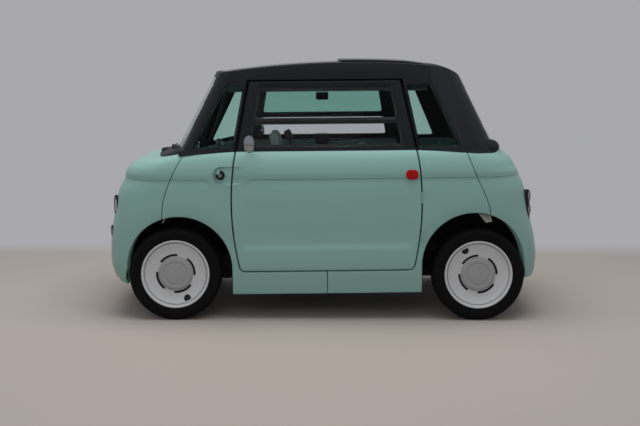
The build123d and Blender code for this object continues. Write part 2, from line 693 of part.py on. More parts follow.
def end_skin_x(y, z, side):
    """x of the nose or tail surface at a width and a height."""
    half, front, rear, corner = row_at(LOWER_ROWS, z)
    reach = front if side > 0 else -rear
    tangent, _, _ = corner_points(reach, half, corner, END_BOW_R, SIDE_BOW_R)
    if y <= tangent.Y:
        x = reach - END_BOW_R + math.sqrt(END_BOW_R ** 2 - y ** 2)
    else:
        unit = Vector(tangent.X - (reach - END_BOW_R), tangent.Y).normalized()
        centre = Vector(tangent.X, tangent.Y) - unit * corner
        x = centre.X + math.sqrt(corner ** 2 - (y - centre.Y) ** 2)
    return x * side


def lamp_plane(y, z, turn, side):
    x = end_skin_x(y, z, side)
    angle = math.radians(turn)
    return Plane(origin=(x, y, z), z_dir=(side * math.cos(angle), math.sin(angle), 0), x_dir=(0, 0, 1))


def lamp(plane, shape, proud):
    """A lamp body with a short rim, and the pocket that it sits in."""
    body = extrude(plane * Pos(0, 0, -LAMP_DEPTH) * shape, amount=LAMP_DEPTH + proud)
    pocket = extrude(plane * Pos(0, 0, -LAMP_DEPTH) * offset(shape, SEAT_GAP), amount=LAMP_DEPTH + 80)
    return body, pocket


def lamps():
    """Left-hand lamps and their pockets, for the front and the rear panel."""
    big, big_pocket = lamp(lamp_plane(HEADLAMP[0], HEADLAMP[1], HEADLAMP[3], 1),
                           Circle(HEADLAMP[2]), LAMP_PROUD)
    small, small_pocket = lamp(lamp_plane(SMALL_LAMP[0], SMALL_LAMP[1], SMALL_LAMP[3], 1),
                               Circle(SMALL_LAMP[2]), LAMP_PROUD)
    pill = SlotOverall(TAIL_LAMP_H, 2 * TAIL_LAMP[2])
    tail, tail_pocket = lamp(lamp_plane(TAIL_LAMP[0], TAIL_LAMP[1], TAIL_LAMP[3], -1), pill, TAIL_PROUD)
    return (big, small), (big_pocket, small_pocket), tail, tail_pocket


def wiper():
    """Wiper motor cowl, its arm and blade in front of the windscreen."""
    cowl = prism("side", outline([(905, 970.0), (1010, 970.0), (985, 992), (905, 1000)], 8), -90, 90)
    arm = rod((960, 0, 985), (905, 300, 1010), 6)
    return cowl + arm


TOW_Y = 250.0
TOW_Z = 300.0
TOW_BORE_R = 8.0
TOW_SLEEVE_R = 15.0
TOW_LENGTH = 52.0
TOW_PROUD = 4.0


def tow_sleeve(side):
    """Threaded towing socket through an end panel, and its hole."""
    x = end_skin_x(TOW_Y, TOW_Z, side) + side * TOW_PROUD
    start, end = (x - side * TOW_LENGTH, side * -TOW_Y, TOW_Z), (x, side * -TOW_Y, TOW_Z)
    sleeve = rod(start, end, TOW_SLEEVE_R) - rod((x - side * (TOW_LENGTH + 1), side * -TOW_Y, TOW_Z),
                                                 (x + side, side * -TOW_Y, TOW_Z), TOW_BORE_R)
    hole = rod(start, (x + side * 40, side * -TOW_Y, TOW_Z), TOW_SLEEVE_R + SEAT_GAP)
    return sleeve, hole


# ---------------------------------------------------------------- assembly
def build():
    nodes, skin = body_panels()
    upper, door_frame, door_glass = glasshouse()
    nodes.update(upper)

    front_lamps, front_pockets, tail, tail_pocket = lamps()
    for pocket in front_pockets:
        nodes["front_panel"] = nodes["front_panel"] - pocket - mirrored(pocket)
    nodes["rear_panel"] = nodes["rear_panel"] - tail_pocket - mirrored(tail_pocket)
    nodes["front_lamps"] = Compound(children=[
        solid for lamp_body in front_lamps for solid in pair(lamp_body).solids()])
    nodes["tail_lamps"] = pair(tail)

    sleeves = []
    for name, side in (("front_panel", 1), ("rear_panel", -1)):
        sleeve, hole = tow_sleeve(side)
        nodes[name] -= hole
        sleeves += sleeve.solids()
    nodes["tow_sockets"] = Compound(children=sleeves)

    # The left door is hinged at its rear edge and the right door at its front.
    pod = mirror_pod() - canopy()
    for hand, side in (("left", -1), ("right", 1)):
        leaves, ears, notches = hinge_set(side)
        door = skin
        wing_name = ("wing_front_" if side > 0 else "wing_rear_") + hand
        wing = nodes[wing_name] if hand == "left" else mirrored(nodes[wing_name])
        for notch, slot in notches:
            door -= notch
            wing = wing - notch - slot
        for leaf, ear_pair in zip(leaves, ears):
            door += leaf
            wing += ear_pair
        doors = {
            wing_name: wing,
            "door_skin_" + hand: door,
            "door_frame_" + hand: door_frame,
            "door_glass_" + hand: door_glass,
            "mirror_" + hand: pod,
        }
        for name, shape in doors.items():
            nodes[name] = shape if hand == "left" else mirrored(shape)

    nodes["floor_pan"] = floor_pan()
    nodes["arch_liners"] = arch_liners()
    wells = arch_cut((FRONT_ARCH[0], FRONT_ARCH[1], FRONT_ARCH[2] + 7))
    wells += arch_cut((REAR_ARCH[0], REAR_ARCH[1], REAR_ARCH[2] + 7))
    wells -= block(-1500, 1500, -WELL_Y + 7, WELL_Y - 7, 0, 1000)
    nodes["bulkheads"] = bulkheads(wells)
    nodes["dashboard"] = dashboard()
    nodes["steering_column"] = steering_column()
    nodes["steering_wheel"] = steering_wheel()
    nodes["seat_driver"] = seat(DRIVER_CUSHION, DRIVER_BACK, SEAT_Y)
    nodes["seat_passenger"] = seat(PASSENGER_CUSHION, PASSENGER_BACK, -SEAT_Y)
    top = FLOOR_Z + FLOOR_T
    nodes["motor_block"] = block(790, 1010, -210, 210, top, 480)
    nodes["battery_block"] = block(-520, -240, -480, 480, top, 410)
    nodes["front_suspension"] = front_suspension()
    nodes["rear_axle"] = rear_axle()
    nodes["wiper"] = wiper()

    nodes["knuckle_left"] = knuckle()
    nodes["knuckle_right"] = mirrored(knuckle())
    # name, x, z, side, turn of the cover
    wheels = (("front_left", FRONT_X, FRONT_Z, 1, 0), ("front_right", FRONT_X, FRONT_Z, -1, 0),
              ("rear_left", REAR_X, REAR_Z, 1, 5), ("rear_right", REAR_X, REAR_Z, -1, 5))
    for name, x, z, side, turn in wheels:
        nodes["tyre_" + name] = wheel_place(tyre(), x, z, side)
        nodes["rim_" + name] = wheel_place(rim(turn), x, z, side)
    return nodes


def main():
    os.makedirs("parts", exist_ok=True)
    middle = (REAR_MAX - FRONT_MAX) / 2
    on_wheels = Pos(middle, 0, PIVOT_Z) * Rot(0, RAKE, 0) * Pos(0, 0, -PIVOT_Z)
    for name, shape in build().items():
        solids = [on_wheels * solid for solid in shape.solids()]
        export_step(solids[0] if len(solids) == 1 else Compound(children=solids), f"parts/{name}.step")


main()
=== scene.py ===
"""Two-seat microcar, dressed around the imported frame.

Shapes are drawn in millimetres on the level car, as its maker draws it: x forward
from the middle of the wheelbase, y to the left, z up. stand() puts them on the
car's wheels, in metres."""

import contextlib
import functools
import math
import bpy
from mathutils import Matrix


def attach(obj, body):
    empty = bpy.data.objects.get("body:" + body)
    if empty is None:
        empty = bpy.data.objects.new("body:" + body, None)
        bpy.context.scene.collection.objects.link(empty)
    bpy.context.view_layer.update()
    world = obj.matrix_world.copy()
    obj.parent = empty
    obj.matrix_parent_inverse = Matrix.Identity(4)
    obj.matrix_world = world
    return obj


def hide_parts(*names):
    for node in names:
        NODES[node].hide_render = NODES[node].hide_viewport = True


bl_info = {
    "name": "Two-seat microcar",
    "version": (1, 0, 0),
    "blender": (4, 5, 0),
    "location": "View3D > Sidebar > Microcar",
    "description": "Panels, glass, wheels, lamps and cabin of a two-seat microcar",
    "category": "Object",
}

import bmesh
import bpy
import numpy as np
from mathutils import Matrix, Vector, geometry

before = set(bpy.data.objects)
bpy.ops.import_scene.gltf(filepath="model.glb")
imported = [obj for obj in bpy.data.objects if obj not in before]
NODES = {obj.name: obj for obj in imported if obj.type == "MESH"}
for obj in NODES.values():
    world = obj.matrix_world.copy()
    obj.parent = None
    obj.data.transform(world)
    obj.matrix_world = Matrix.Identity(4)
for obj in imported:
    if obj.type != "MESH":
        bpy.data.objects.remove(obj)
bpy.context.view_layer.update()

# ---------------------------------------------------------------- the car's sizes, mm
RAKE = math.radians(0.77)                # the car stands nose-down by this, turned about PIVOT_Z
PIVOT_Z = 330.0
MIDDLE_X = -15.5         # brings the middle of the car's length over the origin

# Plan outlines: height, half width, front, rear, corner radius
LOWER_ROWS = (
    (150, 655, 1180, -1170, 200),
    (205, 666, 1228, -1224, 220),
    (250, 673, 1264, -1245, 228),
    (340, 685, 1284, -1253, 232),
    (450, 688, 1282, -1241, 232),
    (600, 694, 1260, -1205, 230),
    (740, 693, 1230, -1180, 228),
    (815, 688, 1192, -1150, 225),
)
UPPER_ROWS = (
    (815, 694, 1192, -1150, 228),
    (840, 697, 1190, -1142, 227),
    (865, 695, 1180, -1126, 225),
    (910, 685, 1144, -1100, 215),
    (945, 671, 1106, -1060, 205),
    (970, 650, 1072, -1040, 190),
)
# Outline of the glasshouse's foot, which the scuttle runs up to: half width, front, rear, corner radius
FOOT_ROW = (648, 905, -1033, 100)
# Radii, in plan, of the bowed nose and tail, of the screens and of the sides
END_BOW_R = 4600.0
SCREEN_BOW_R = 2200.0
SIDE_BOW_R = 31000.0
# The glasshouse's surface low and high: height, half width, front, rear, corner radius
CANOPY_ROWS = ((970, 648, 903, -1033, 100), (1560, 492, 586, -735, 100))
BELT_Z = 970.0
SCUTTLE_W = 150.0        # drawn height that stands for the scuttle's depth
SCUTTLE_RISE = 1.0       # the scuttle rises by this towards the screen
SCUTTLE_BLEND = 60.0     # and by less where it is less deep than this
CREASE_Z = 815.0
CREASE_STEP = 4.0        # height over which the skin steps out at the crease
CREASE_SPREAD = 62.0     # and how much higher that gets beside the lock, where the crease fades out
CREASE_FADE = (415, 480, 640, 690)       # places along the car between which it fades out and back
PANEL_T = 36.0
PANEL_EDGE_R = 3.5
SEAM = 1.6               # half of a closed seam between two fixed panels

DOOR_HALF = 540.0
DOOR_WIDEST_Z = 677.0
DOOR_EDGE_R = 1687.0
DOOR_SILL_Z = 285.0
DOOR_GAP = 8.0
DOOR_CORNER_R = 34.0

# Wheel arches: middle, height of the middle, radius
FRONT_ARCH = (845.0, 298.0, 305.0)
REAR_ARCH = (-840.0, 308.0, 300.0)
ARCH_BAND = 56.0         # width of the turned-in band round a wheel arch
ARCH_TURN = 8.0
ARCH_FADE = (-150, 40)   # the band grows to its full depth between these heights about the arch's middle
# Seams between a wing and the nose or tail, as points from the belt down
FRONT_SEAM = ((806, 980), (930, 660), (936, 560), (936, 100))
REAR_SEAM = ((-786, 980), (-852, 815), (-906, 694), (-930, 606), (-930, 100))
SEAM_FOOT_Z = 590.0      # a seam runs into its wheel arch at about this height
SEAM_FOOT_TURN = 0.3     # degrees of the arch that each panel keeps clear of the seam
SILL_Z = 152.0
NOSE_FOOT_Z = 206.0
TAIL_FOOT_Z = 217.0

LOCK = (600.0, 838.0)    # lock on the wing beside the door's free edge
RECESS = (456.0, 643.0, 786.0, 886.0)
RECESS_DEPTH = 11.0
RECESS_R = 49.0
RECESS_WALL = (-9, 2)    # the recess's wall runs from inside to outside its outline
RECESS_RAMP = 90.0       # and its floor slopes in over this length from the door's side
DOOR_RIDGE_Z = 403.0
DOOR_HOLLOW = 7.0
HOLLOW_RISE = 42.0       # the hollow is reached this far above the ridge
HOLLOW_TOP = (470, 740)  # it fades out between these heights
HOLLOW_ENDS = (430, 520)                 # and between these places along the door

TYRE_R = 263.0
TYRE_W = 156.0
# The shoulder blocks' inner edge from the tyre's middle, and their outer edge from its wall
TREAD_IN, TREAD_OUT = 42, 19
WHEEL_Y = 600.0
WHEELBASE = 1728.0

# Slots of a wheel cover: inner and outer radius, then span and first turn in degrees
SLOT_R = (100.0, 113.0)
SLOT_SPAN = 57.0
SLOT_TURN = 24.0
VALVE_R = 155.0

HINGE_Y = 689.0
HINGE_HEIGHTS = (480.0, 700.0)
PULL = (-483.0, 832.0, 70.0, 54.0)       # red door pull: x, z, width, height
DOOR_BAR_Z = 1136.0
LATCH_X = 4.0
LATCH_TOP_Z = 1262.0
LATCH_FOOT_Z = 968.0
MIRROR = (430.0, 752.0, 1017.0)
MIRROR_SIZE = (66.0, 54.0, 100.0)
CLIP_Y = 560.0
# White clips that hang from the wheel liners: end, then corners in side view
CLIPS = (("front", ((953, 554), (942, 554), (914, 597), (925, 597))),
         ("rear", ((-872, 598), (-922, 536), (-958, 542), (-946, 598))))
FRAME_WALL = 34.0
DOOR_TOP = (442.0, -435.0, 1368.0)       # the door frame's top corners: front, rear, height
HEADER_Z = 1303.0        # lower edge of the trim under the roof's sides
CANOPY_LEAN = 0.967      # cosine of the glasshouse sides' lean
INTAKE_Z, INTAKE_W, INTAKE_H = 250.0, 430.0, 46.0
COWL_HALF = 548.0        # half width of the cowl across the scuttle

# Lamps: y, z, half size, outward turn in degrees
FRONT_LAMPS = ((486.0, 650.0, 64.0, 17.0), (500.0, 505.0, 34.0, 19.0))
TAIL_LAMP = (505.0, 629.0, 36.0, 20.0)
TAIL_LAMP_H = 188.0
PANE_INDEX = 1.12
PANE_T = 5.0
# Windscreen and rear window: half width low and high, height low and high
SCREEN = (560, 476, 988, 1392)
REAR_SCREEN = (545, 450, 1000, 1312)
SCREEN_CORNER_R = 40.0
LAMP_SINK = 5.0          # the front lamps sit this deep in the nose
LAMP_LAP = 4.0           # a lamp's rim covers the edge of its hole by this much

PAD_CORNER_R = 46
PIPING_R = 0.0028        # m
SEAT_Y = 310.0
# Seat, side, then cushion and back pads: start and end in side view, thickness, width
SEATS = (
    ("driver", 1, ((140, 512), (486, 512), 46, 350), ((196, 560), (296, 960), 40, 330)),
    ("passenger", -1, ((-176, 512), (190, 512), 46, 350), ((-158, 560), (-218, 860), 40, 330)),
)

CAMERA_AT = (0.1054, 6.7312, 1.3721)
CAMERA_LENS = 60.55
CAMERA_SENSOR = 36.0
CAMERA_TURN = (4.382, -0.242, -0.708)    # tilt down, roll and yaw, degrees
CAMERA_SHIFT = -0.08
FLOOR_HALF = 14.0
FLOOR_FADE = (-1.45, -2.3)               # the floor fades into the backdrop between these, m


# From the level car in millimetres to the car on its wheels in metres
STAND = Matrix.Scale(0.001, 4) @ (
    Matrix.Translation((MIDDLE_X, 0, PIVOT_Z)) @ Matrix.Rotation(RAKE, 4, "Y")
    @ Matrix.Translation((0, 0, -PIVOT_Z)))


def stand(x, y, z):
    """Place in the car's frame, in metres, of a point of the level car in millimetres."""
    return STAND @ Vector((x, y, z))


# ---------------------------------------------------------------- curves and surfaces
def smooth_curve(points):
    """A smooth function through (position, value) pairs, without overshoot."""
    at = [p[0] for p in points]
    value = [p[1] for p in points]
    rise = [(b - a) / (q - p) for a, b, p, q in zip(value, value[1:], at, at[1:])]
    inner = [0 if a * b <= 0 else 2 * a * b / (a + b) for a, b in zip(rise, rise[1:])]
    slope = [rise[0], *inner, rise[-1]]

    def curve(x):
        x = min(max(x, at[0]), at[-1])
        i = max(k for k in range(len(at) - 1) if at[k] <= x or k == 0)
        span = at[i + 1] - at[i]
        t = (x - at[i]) / span
        return (value[i] * (1 + 2 * t) * (1 - t) ** 2 + slope[i] * span * t * (1 - t) ** 2
                + value[i + 1] * t * t * (3 - 2 * t) - slope[i + 1] * span * t * t * (1 - t))

    return curve


def step(low, high, x):
    """0 below low, 1 above high and a smooth S between them."""
    t = min(max((x - low) / (high - low), 0.0), 1.0)
    return t * t * (3 - 2 * t)


LOWER = [smooth_curve([(row[0], row[k]) for row in LOWER_ROWS]) for k in range(1, 5)]
UPPER = [smooth_curve([(row[0], row[k]) for row in UPPER_ROWS]) for k in range(1, 5)]


@functools.lru_cache(maxsize=None)
def plan_row(z, spread=CREASE_STEP):
    """Half width, front, rear and corner radius at a height, with the crease's step."""
    share = step(CREASE_Z - spread, CREASE_Z, z)
    low = [f(z) for f in LOWER] if share < 1 else (0, 0, 0, 0)
    high = [f(z) for f in UPPER] if share > 0 else (0, 0, 0, 0)
    return [a * (1 - share) + b * share for a, b in zip(low, high)]


def corner(reach, half, radius, end_r=END_BOW_R):
    """Centre of a corner arc, and the angles where it meets the end's and the side's bow."""
    end = Vector((reach - end_r, 0.0))
    side = Vector((0.0, half - SIDE_BOW_R))
    to_end, to_side = end_r - radius, SIDE_BOW_R - radius
    span = (side - end).length
    along = (to_end ** 2 - to_side ** 2 + span ** 2) / (2 * span)
    unit = (side - end) / span
    across = math.sqrt(to_end ** 2 - along ** 2)
    across_way = Vector((unit.y, -unit.x)) * across
    centre = max((end + unit * along + across_way, end + unit * along - across_way), key=lambda p: p.x)
    start = math.atan2(centre.y, centre.x - end.x)
    stop = math.atan2(centre.y - side.y, centre.x)
    return centre, start, stop


def outline_point(distance, half, reach, radius, end_r=END_BOW_R):
    """Point of a plan outline, at a distance along it from the middle of an end."""
    centre, start, stop = corner(reach, half, radius, end_r)
    d = abs(distance)
    if d <= end_r * start:
        turn = d / end_r
        x, y = reach - end_r * (1 - math.cos(turn)), end_r * math.sin(turn)
    elif d <= end_r * start + radius * (stop - start):
        turn = start + (d - end_r * start) / radius
        x, y = centre.x + radius * math.cos(turn), centre.y + radius * math.sin(turn)
    else:
        turn = stop + (d - end_r * start - radius * (stop - start)) / SIDE_BOW_R
        x, y = SIDE_BOW_R * math.cos(turn), half - SIDE_BOW_R * (1 - math.sin(turn))
    return x, math.copysign(y, distance)


def end_row(row, way):
    """Half width, reach and corner radius of a plan outline's front, way above 0, or rear."""
    half, front, rear, radius = row
    return half, front if way > 0 else -rear, radius


def side_width(x, row):
    """Half width of a plan outline at a place along the car."""
    half, reach, radius = end_row(row, x)
    centre, _, stop = corner(reach, half, radius)
    if abs(x) <= centre.x + radius * math.cos(stop):
        return half - SIDE_BOW_R + math.sqrt(SIDE_BOW_R ** 2 - x * x)
    reach_in = min(abs(x) - centre.x, radius)
    return centre.y + math.sqrt(radius ** 2 - reach_in ** 2)


def box_distance(x, z, box, radius):
    """Distance outside a rounded rectangle, negative inside."""
    x_low, x_high, z_low, z_high = box
    dx = max(x_low + radius - x, x - x_high + radius)
    dz = max(z_low + radius - z, z - z_high + radius)
    return min(max(dx, dz), 0) + math.hypot(max(dx, 0), max(dz, 0)) - radius


def arch_dent(x, z):
    """How far the band round a wheel arch is turned in."""
    dent = 0.0
    for arch_x, arch_z, radius in (FRONT_ARCH, REAR_ARCH):
        away = math.hypot(x - arch_x, z - arch_z) if z > arch_z else abs(x - arch_x)
        fade = step(arch_z + ARCH_FADE[0], arch_z + ARCH_FADE[1], z)
        dent = max(dent, ARCH_TURN * fade * min(max((radius + ARCH_BAND - away) / ARCH_BAND, 0), 1))
    return dent


def crease_spread(x, lock_way):
    """Height over which the crease steps in: it fades out beside the lock."""
    x *= lock_way
    near, full, fading, gone = CREASE_FADE
    return CREASE_STEP + CREASE_SPREAD * (step(near, full, x) - step(fading, gone, x))


def side_dent(x, z, lock_way):
    """Depth of the recess, the door's hollow and the arch bands on a side."""
    dent = arch_dent(x, z)
    away = box_distance(x * lock_way, z, RECESS, RECESS_R)
    ramp = step(RECESS[0], RECESS[0] + RECESS_RAMP, x * lock_way)
    dent += RECESS_DEPTH * (1 - step(*RECESS_WALL, away)) * ramp
    if abs(x) < DOOR_HALF:
        ends = 1 - step(*HOLLOW_ENDS, abs(x))
        hollow = step(DOOR_RIDGE_Z, DOOR_RIDGE_Z + HOLLOW_RISE, z) * (1 - step(*HOLLOW_TOP, z))
        dent += DOOR_HOLLOW * ends * hollow
    return dent


def side_point(x, z, hand, lock_way):
    """Point of the painted skin on a side, hand being 1 on the left and -1 on the right."""
    width = side_width(x, plan_row(z, crease_spread(x, lock_way)))
    return Vector((x, hand * (width - side_dent(x, z, lock_way)), z))


# How far the wings' and the scuttle's top has fallen, between two places along the car
FALL_ENDS = (518, 1220)
WING_FALL = smooth_curve([
    (517, 0), (518, 0), (700, 6), (836, 19), (905, 30), (1000, 41), (1080, 42), (1130, 36), (1180, 20),
    (1220, 0), (1221, 0)])
FALL_FROM = 850.0        # below this height nothing falls


def lowered(point):
    """The point of a panel, dropped with the top of the wings and scuttle."""
    if not FALL_ENDS[0] < point.x < FALL_ENDS[1]:
        return point
    share = min(max((point.z - FALL_FROM) / (BELT_Z - FALL_FROM), 0), 1)
    return Vector((point.x, point.y, point.z - WING_FALL(point.x) * share ** 2))


def end_point(distance, z, way):
    """Point of the nose, way 1, or the tail, way -1. Above the belt it is the scuttle."""
    half, reach, radius = end_row(plan_row(min(z, BELT_Z)), way)
    x, y = outline_point(distance, half, reach, radius)
    if z <= BELT_Z:
        bend = arch_dent(x * way, z)
        centre = corner(reach, half, radius)[0]
        if x > centre.x and abs(y) > centre.y:
            out = Vector((x - centre.x, abs(y) - centre.y)).normalized()
        else:
            out = Vector((0.0, 1.0)) if x <= centre.x else Vector((1.0, 0.0))
        x -= bend * out.x
        y -= math.copysign(bend * out.y, y)
        return Vector((x * way, y, z))
    share = (z - BELT_Z) / SCUTTLE_W
    foot = end_row(FOOT_ROW, way)
    total, foot_total = full_distance(half, reach, radius), full_distance(*foot, SCREEN_BOW_R)
    fx, fy = outline_point(distance * foot_total / total, *foot, SCREEN_BOW_R)
    rise = SCUTTLE_RISE * math.sin(share * math.pi / 2) * step(0, SCUTTLE_BLEND, x - fx)
    return Vector(((x + (fx - x) * share) * way, y + (fy - y) * share, BELT_Z + rise))


def screen_point(along, z, way, inside=0.0):
    """Point of the glasshouse's front, way 1, or rear surface, at a distance from its middle."""
    (low_z, low_half, *low_ends, radius), (high_z, high_half, *high_ends, _) = CANOPY_ROWS
    share = (z - low_z) / (high_z - low_z)
    end = 0 if way > 0 else 1
    reach = abs(low_ends[end] + (high_ends[end] - low_ends[end]) * share)
    half = low_half + (high_half - low_half) * share
    reach -= inside + (1 if inside else 0)
    x, y = outline_point(along, half - inside, reach, radius - inside, SCREEN_BOW_R)
    return Vector((x * way, y, z))


def filleted(corners, radius, count=6):
    """The polygon with its corners rounded."""
    out = []
    for before, here, after in zip(corners[-1:] + corners[:-1], corners, corners[1:] + corners[:1]):
        at = Vector(here)
        u, v = (Vector(before) - at).normalized(), (Vector(after) - at).normalized()
        half_angle = u.angle(v) / 2
        centre = at + (u + v).normalized() * radius / math.sin(half_angle)
        back = radius / math.tan(half_angle)
        first, last = at + u * back - centre, at + v * back - centre
        for i in range(count + 1):
            out.append(tuple(centre + (first + (last - first) * i / count).normalized() * radius))
    return out


def full_distance(half, reach, radius, end_r=END_BOW_R):
    """Distance along an outline from the middle of its end to the front seam's place."""
    centre, start, stop = corner(reach, half, radius, end_r)
    side_from = centre.x + radius * math.cos(stop)
    return end_r * start + radius * (stop - start) + side_from - FRONT_SEAM[0][0]


def halved(short, high, steps):
    """The place between 0 and high up to which a test holds, found by halving."""
    low = 0.0
    for _ in range(steps):
        middle = (low + high) / 2
        if short(middle):
            low = middle
        else:
            high = middle
    return low


def distance_at(x, z, way):
    """Distance along the outline, from the end's middle, of a place x on the left side."""
    row = end_row(plan_row(z), way)
    return halved(lambda d: outline_point(d, *row)[0] > abs(x), 1400.0, 28)


# ---------------------------------------------------------------- plates on a surface
def resample(points, spacing, closed=True):
    """The same line with points no further apart than the spacing."""
    out = []
    ends = points[1:] + points[:1] if closed else points[1:]
    for a, b in zip(points, ends):
        count = max(1, math.ceil(math.dist(a, b) / spacing))
        out += [(a[0] + (b[0] - a[0]) * i / count, a[1] + (b[1] - a[1]) * i / count) for i in range(count)]
    return out if closed else out + [points[-1]]


def evenly(low, high, count):
    """Evenly spaced values from low to high, both included."""
    return [low + (high - low) * i / count for i in range(count + 1)]


def arc(cx, cz, radius, start, stop, count):
    """Points of an arc between two angles in degrees."""
    turns = [math.radians(turn) for turn in evenly(start, stop, count)]
    return [(cx + radius * math.cos(t), cz + radius * math.sin(t)) for t in turns]


def inset(loop, amount):
    """The loop moved to its left, which is into the plate."""
    moved = []
    for before, here, after in zip(loop[-1:] + loop[:-1], loop, loop[1:] + loop[:1]):
        first = Vector((here[0] - before[0], here[1] - before[1])).normalized()
        second = Vector((after[0] - here[0], after[1] - here[1])).normalized()
        normal = Vector((-first.y - second.y, first.x + second.x))
        scale = amount / max(normal.length_squared / 2, 0.35) if normal.length else 0
        moved.append((here[0] + normal.x * scale, here[1] + normal.y * scale))
    return moved


def inside(points, loops):
    """For each point, whether it is inside the loops by the even-odd rule."""
    points = np.asarray(points, float)
    odd = np.zeros(len(points), bool)
    for loop in loops:
        a = np.asarray(loop, float)
        b = np.roll(a, -1, axis=0)
        for (ax, az), (bx, bz) in zip(a, b):
            if az == bz:
                continue
            crosses = (points[:, 1] >= min(az, bz)) & (points[:, 1] < max(az, bz))
            x = ax + (points[:, 1] - az) * (bx - ax) / (bz - az)
            odd ^= crosses & (points[:, 0] < x)
    return odd


def clear_of(points, loops, gap):
    """For each point, whether it is at least the gap away from the loops' points."""
    near = np.concatenate([np.asarray(loop, float) for loop in loops])
    points = np.asarray(points, float)
    least = np.full(len(points), 1e9)
    for start in range(0, len(near), 200):
        part = near[start:start + 200]
        away = np.hypot(points[:, None, 0] - part[None, :, 0], points[:, None, 1] - part[None, :, 1])
        least = np.minimum(least, away.min(axis=1))
    return least > gap


def spaced(low, high, coarse, bands=()):
    """Positions from low to high, closer together inside bands of (low, high, spacing)."""
    out, at = [], low
    while at < high:
        out.append(at)
        fine = [gap for start, stop, gap in bands if start - gap <= at < stop]
        ahead = [start - at for start, stop, gap in bands if at < start < at + coarse]
        at += min(fine + ahead + [coarse])
    return out + [high]


EDGE_CLEAR = 0.45        # grid points stay this share of the spacing away from a plate's edge
LIFT_STEP = 1.5          # a surface's slope is measured over twice this length, mm


def plate(loops, columns, rows, place, thickness=PANEL_T, edge=PANEL_EDGE_R, spacing=9.0):
    """Closed plate with rounded edges, lying on a surface.

    loops are outlines in the surface's own two coordinates, with the plate on their
    left, and place(a, b) gives the surface's point. Returns points and faces."""
    loops = [resample(loop, spacing) for loop in loops]
    first = [inset(loop, edge) for loop in loops]
    grid = [(a, b) for a in columns for b in rows]
    keep = inside(grid, first) & clear_of(grid, first, spacing * EDGE_CLEAR)
    flat = [p for loop in first for p in loop]
    links, offset = [], 0
    for loop in first:
        links += [(offset + i, offset + (i + 1) % len(loop)) for i in range(len(loop))]
        offset += len(loop)
    flat += [p for p, good in zip(grid, keep) if good]
    found, _, triangles, origin, _, _ = geometry.delaunay_2d_cdt(
        [Vector(p) for p in flat], links, [], 0, 1e-6)
    flat_at = {source: i for i, sources in enumerate(origin) for source in sources}
    middle = [sum((found[i] for i in face), Vector((0, 0))) / len(face) for face in triangles]
    triangles = [face for face, good in zip(triangles, inside(middle, first)) if good]

    def lift(a, b, depth):
        here = place(a, b)
        across = place(a + LIFT_STEP, b) - place(a - LIFT_STEP, b)
        up = place(a, b + LIFT_STEP) - place(a, b - LIFT_STEP)
        normal = across.cross(up)
        return here, normal.normalized() if normal.length > 1e-9 else Vector((0, 0, 0)), depth

    spots = [lift(p[0], p[1], 0) for p in found]
    front_count = len(spots)
    turns = [math.radians(a) for a in (30, 60, 90)]
    rings = [(edge * (1 - math.sin(t)), edge * (1 - math.cos(t))) for t in turns] + [(0, thickness)]
    faces = [tuple(face) for face in triangles]
    offset, back_edge = 0, []
    for loop in loops:
        count = len(loop)
        last = [flat_at[offset + i] for i in range(count)]
        for amount, depth in rings:
            start = len(spots)
            spots += [lift(p[0], p[1], depth) for p in inset(loop, amount)]
            ring = list(range(start, start + count))
            faces += [(last[i], ring[i], ring[(i + 1) % count], last[(i + 1) % count]) for i in range(count)]
            last = ring
        back_edge.append((offset, last))
        offset += count
    back_start = len(spots)
    spots += [(here, normal, thickness) for here, normal, _ in spots[:front_count]]
    faces += [tuple(back_start + i for i in reversed(face)) for face in triangles]
    for offset, last in back_edge:
        count = len(last)
        inner = [back_start + flat_at[offset + i] for i in range(count)]
        faces += [(last[i], inner[i], inner[(i + 1) % count], last[(i + 1) % count]) for i in range(count)]
    return spots, faces


# ---------------------------------------------------------------- making pieces
@contextlib.contextmanager
def edited(mesh):
    """The mesh opened for editing, and written back afterwards."""
    edit = bmesh.new()
    edit.from_mesh(mesh)
    yield edit
    edit.to_mesh(mesh)
    edit.free()


def mesh_piece(name, points, faces, material, body, slot, replaces=(), sharp=38):
    """A finished piece from points in metres, riding on a body."""
    mesh = bpy.data.meshes.new(name)
    mesh.from_pydata([tuple(p) for p in points], [], faces)
    with edited(mesh) as edit:
        bmesh.ops.remove_doubles(edit, verts=edit.verts, dist=1e-6)
        bmesh.ops.recalc_face_normals(edit, faces=edit.faces)
    return finish_piece(name, mesh, material, body, replaces, sharp)


def finish_piece(name, mesh, material, body, replaces=(), sharp=38):
    """A mesh as a piece: its finish, its body, and the nodes that it replaces."""
    mesh.materials.clear()
    mesh.materials.append(material)
    mesh.shade_smooth()
    mesh.set_sharp_from_angle(angle=math.radians(sharp))
    piece = bpy.data.objects.new(name, mesh)
    bpy.context.scene.collection.objects.link(piece)
    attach(piece, body)
    if replaces:
        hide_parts(*replaces)
    return piece


CAR_MIDDLE = Vector((0, 0, 600))


def plate_piece(name, loops, columns, rows, place, material, body, slot, replaces=(), **sizes):
    """A plate in level millimetres as a finished piece."""
    spots, faces = plate(loops, columns, rows, place, **sizes)
    # Depth runs inwards, towards the middle of the car.
    points = []
    for here, normal, depth in spots:
        inward = normal if normal.dot(CAR_MIDDLE - here) > 0 else -normal
        points.append(stand(*(here + inward * depth)))
    return mesh_piece(name, points, faces, material, body, slot, replaces)


# ---------------------------------------------------------------- simple shapes
def facing(origin, out, up=(0, 0, 1)):
    """Matrix from a part's own millimetres, z out of it and y up it, to the car in metres."""
    z = Vector(out).normalized()
    x = Vector(up).cross(z).normalized()
    turn = Matrix((x, z.cross(x), z)).transposed().to_4x4()
    return STAND @ Matrix.Translation(origin) @ turn


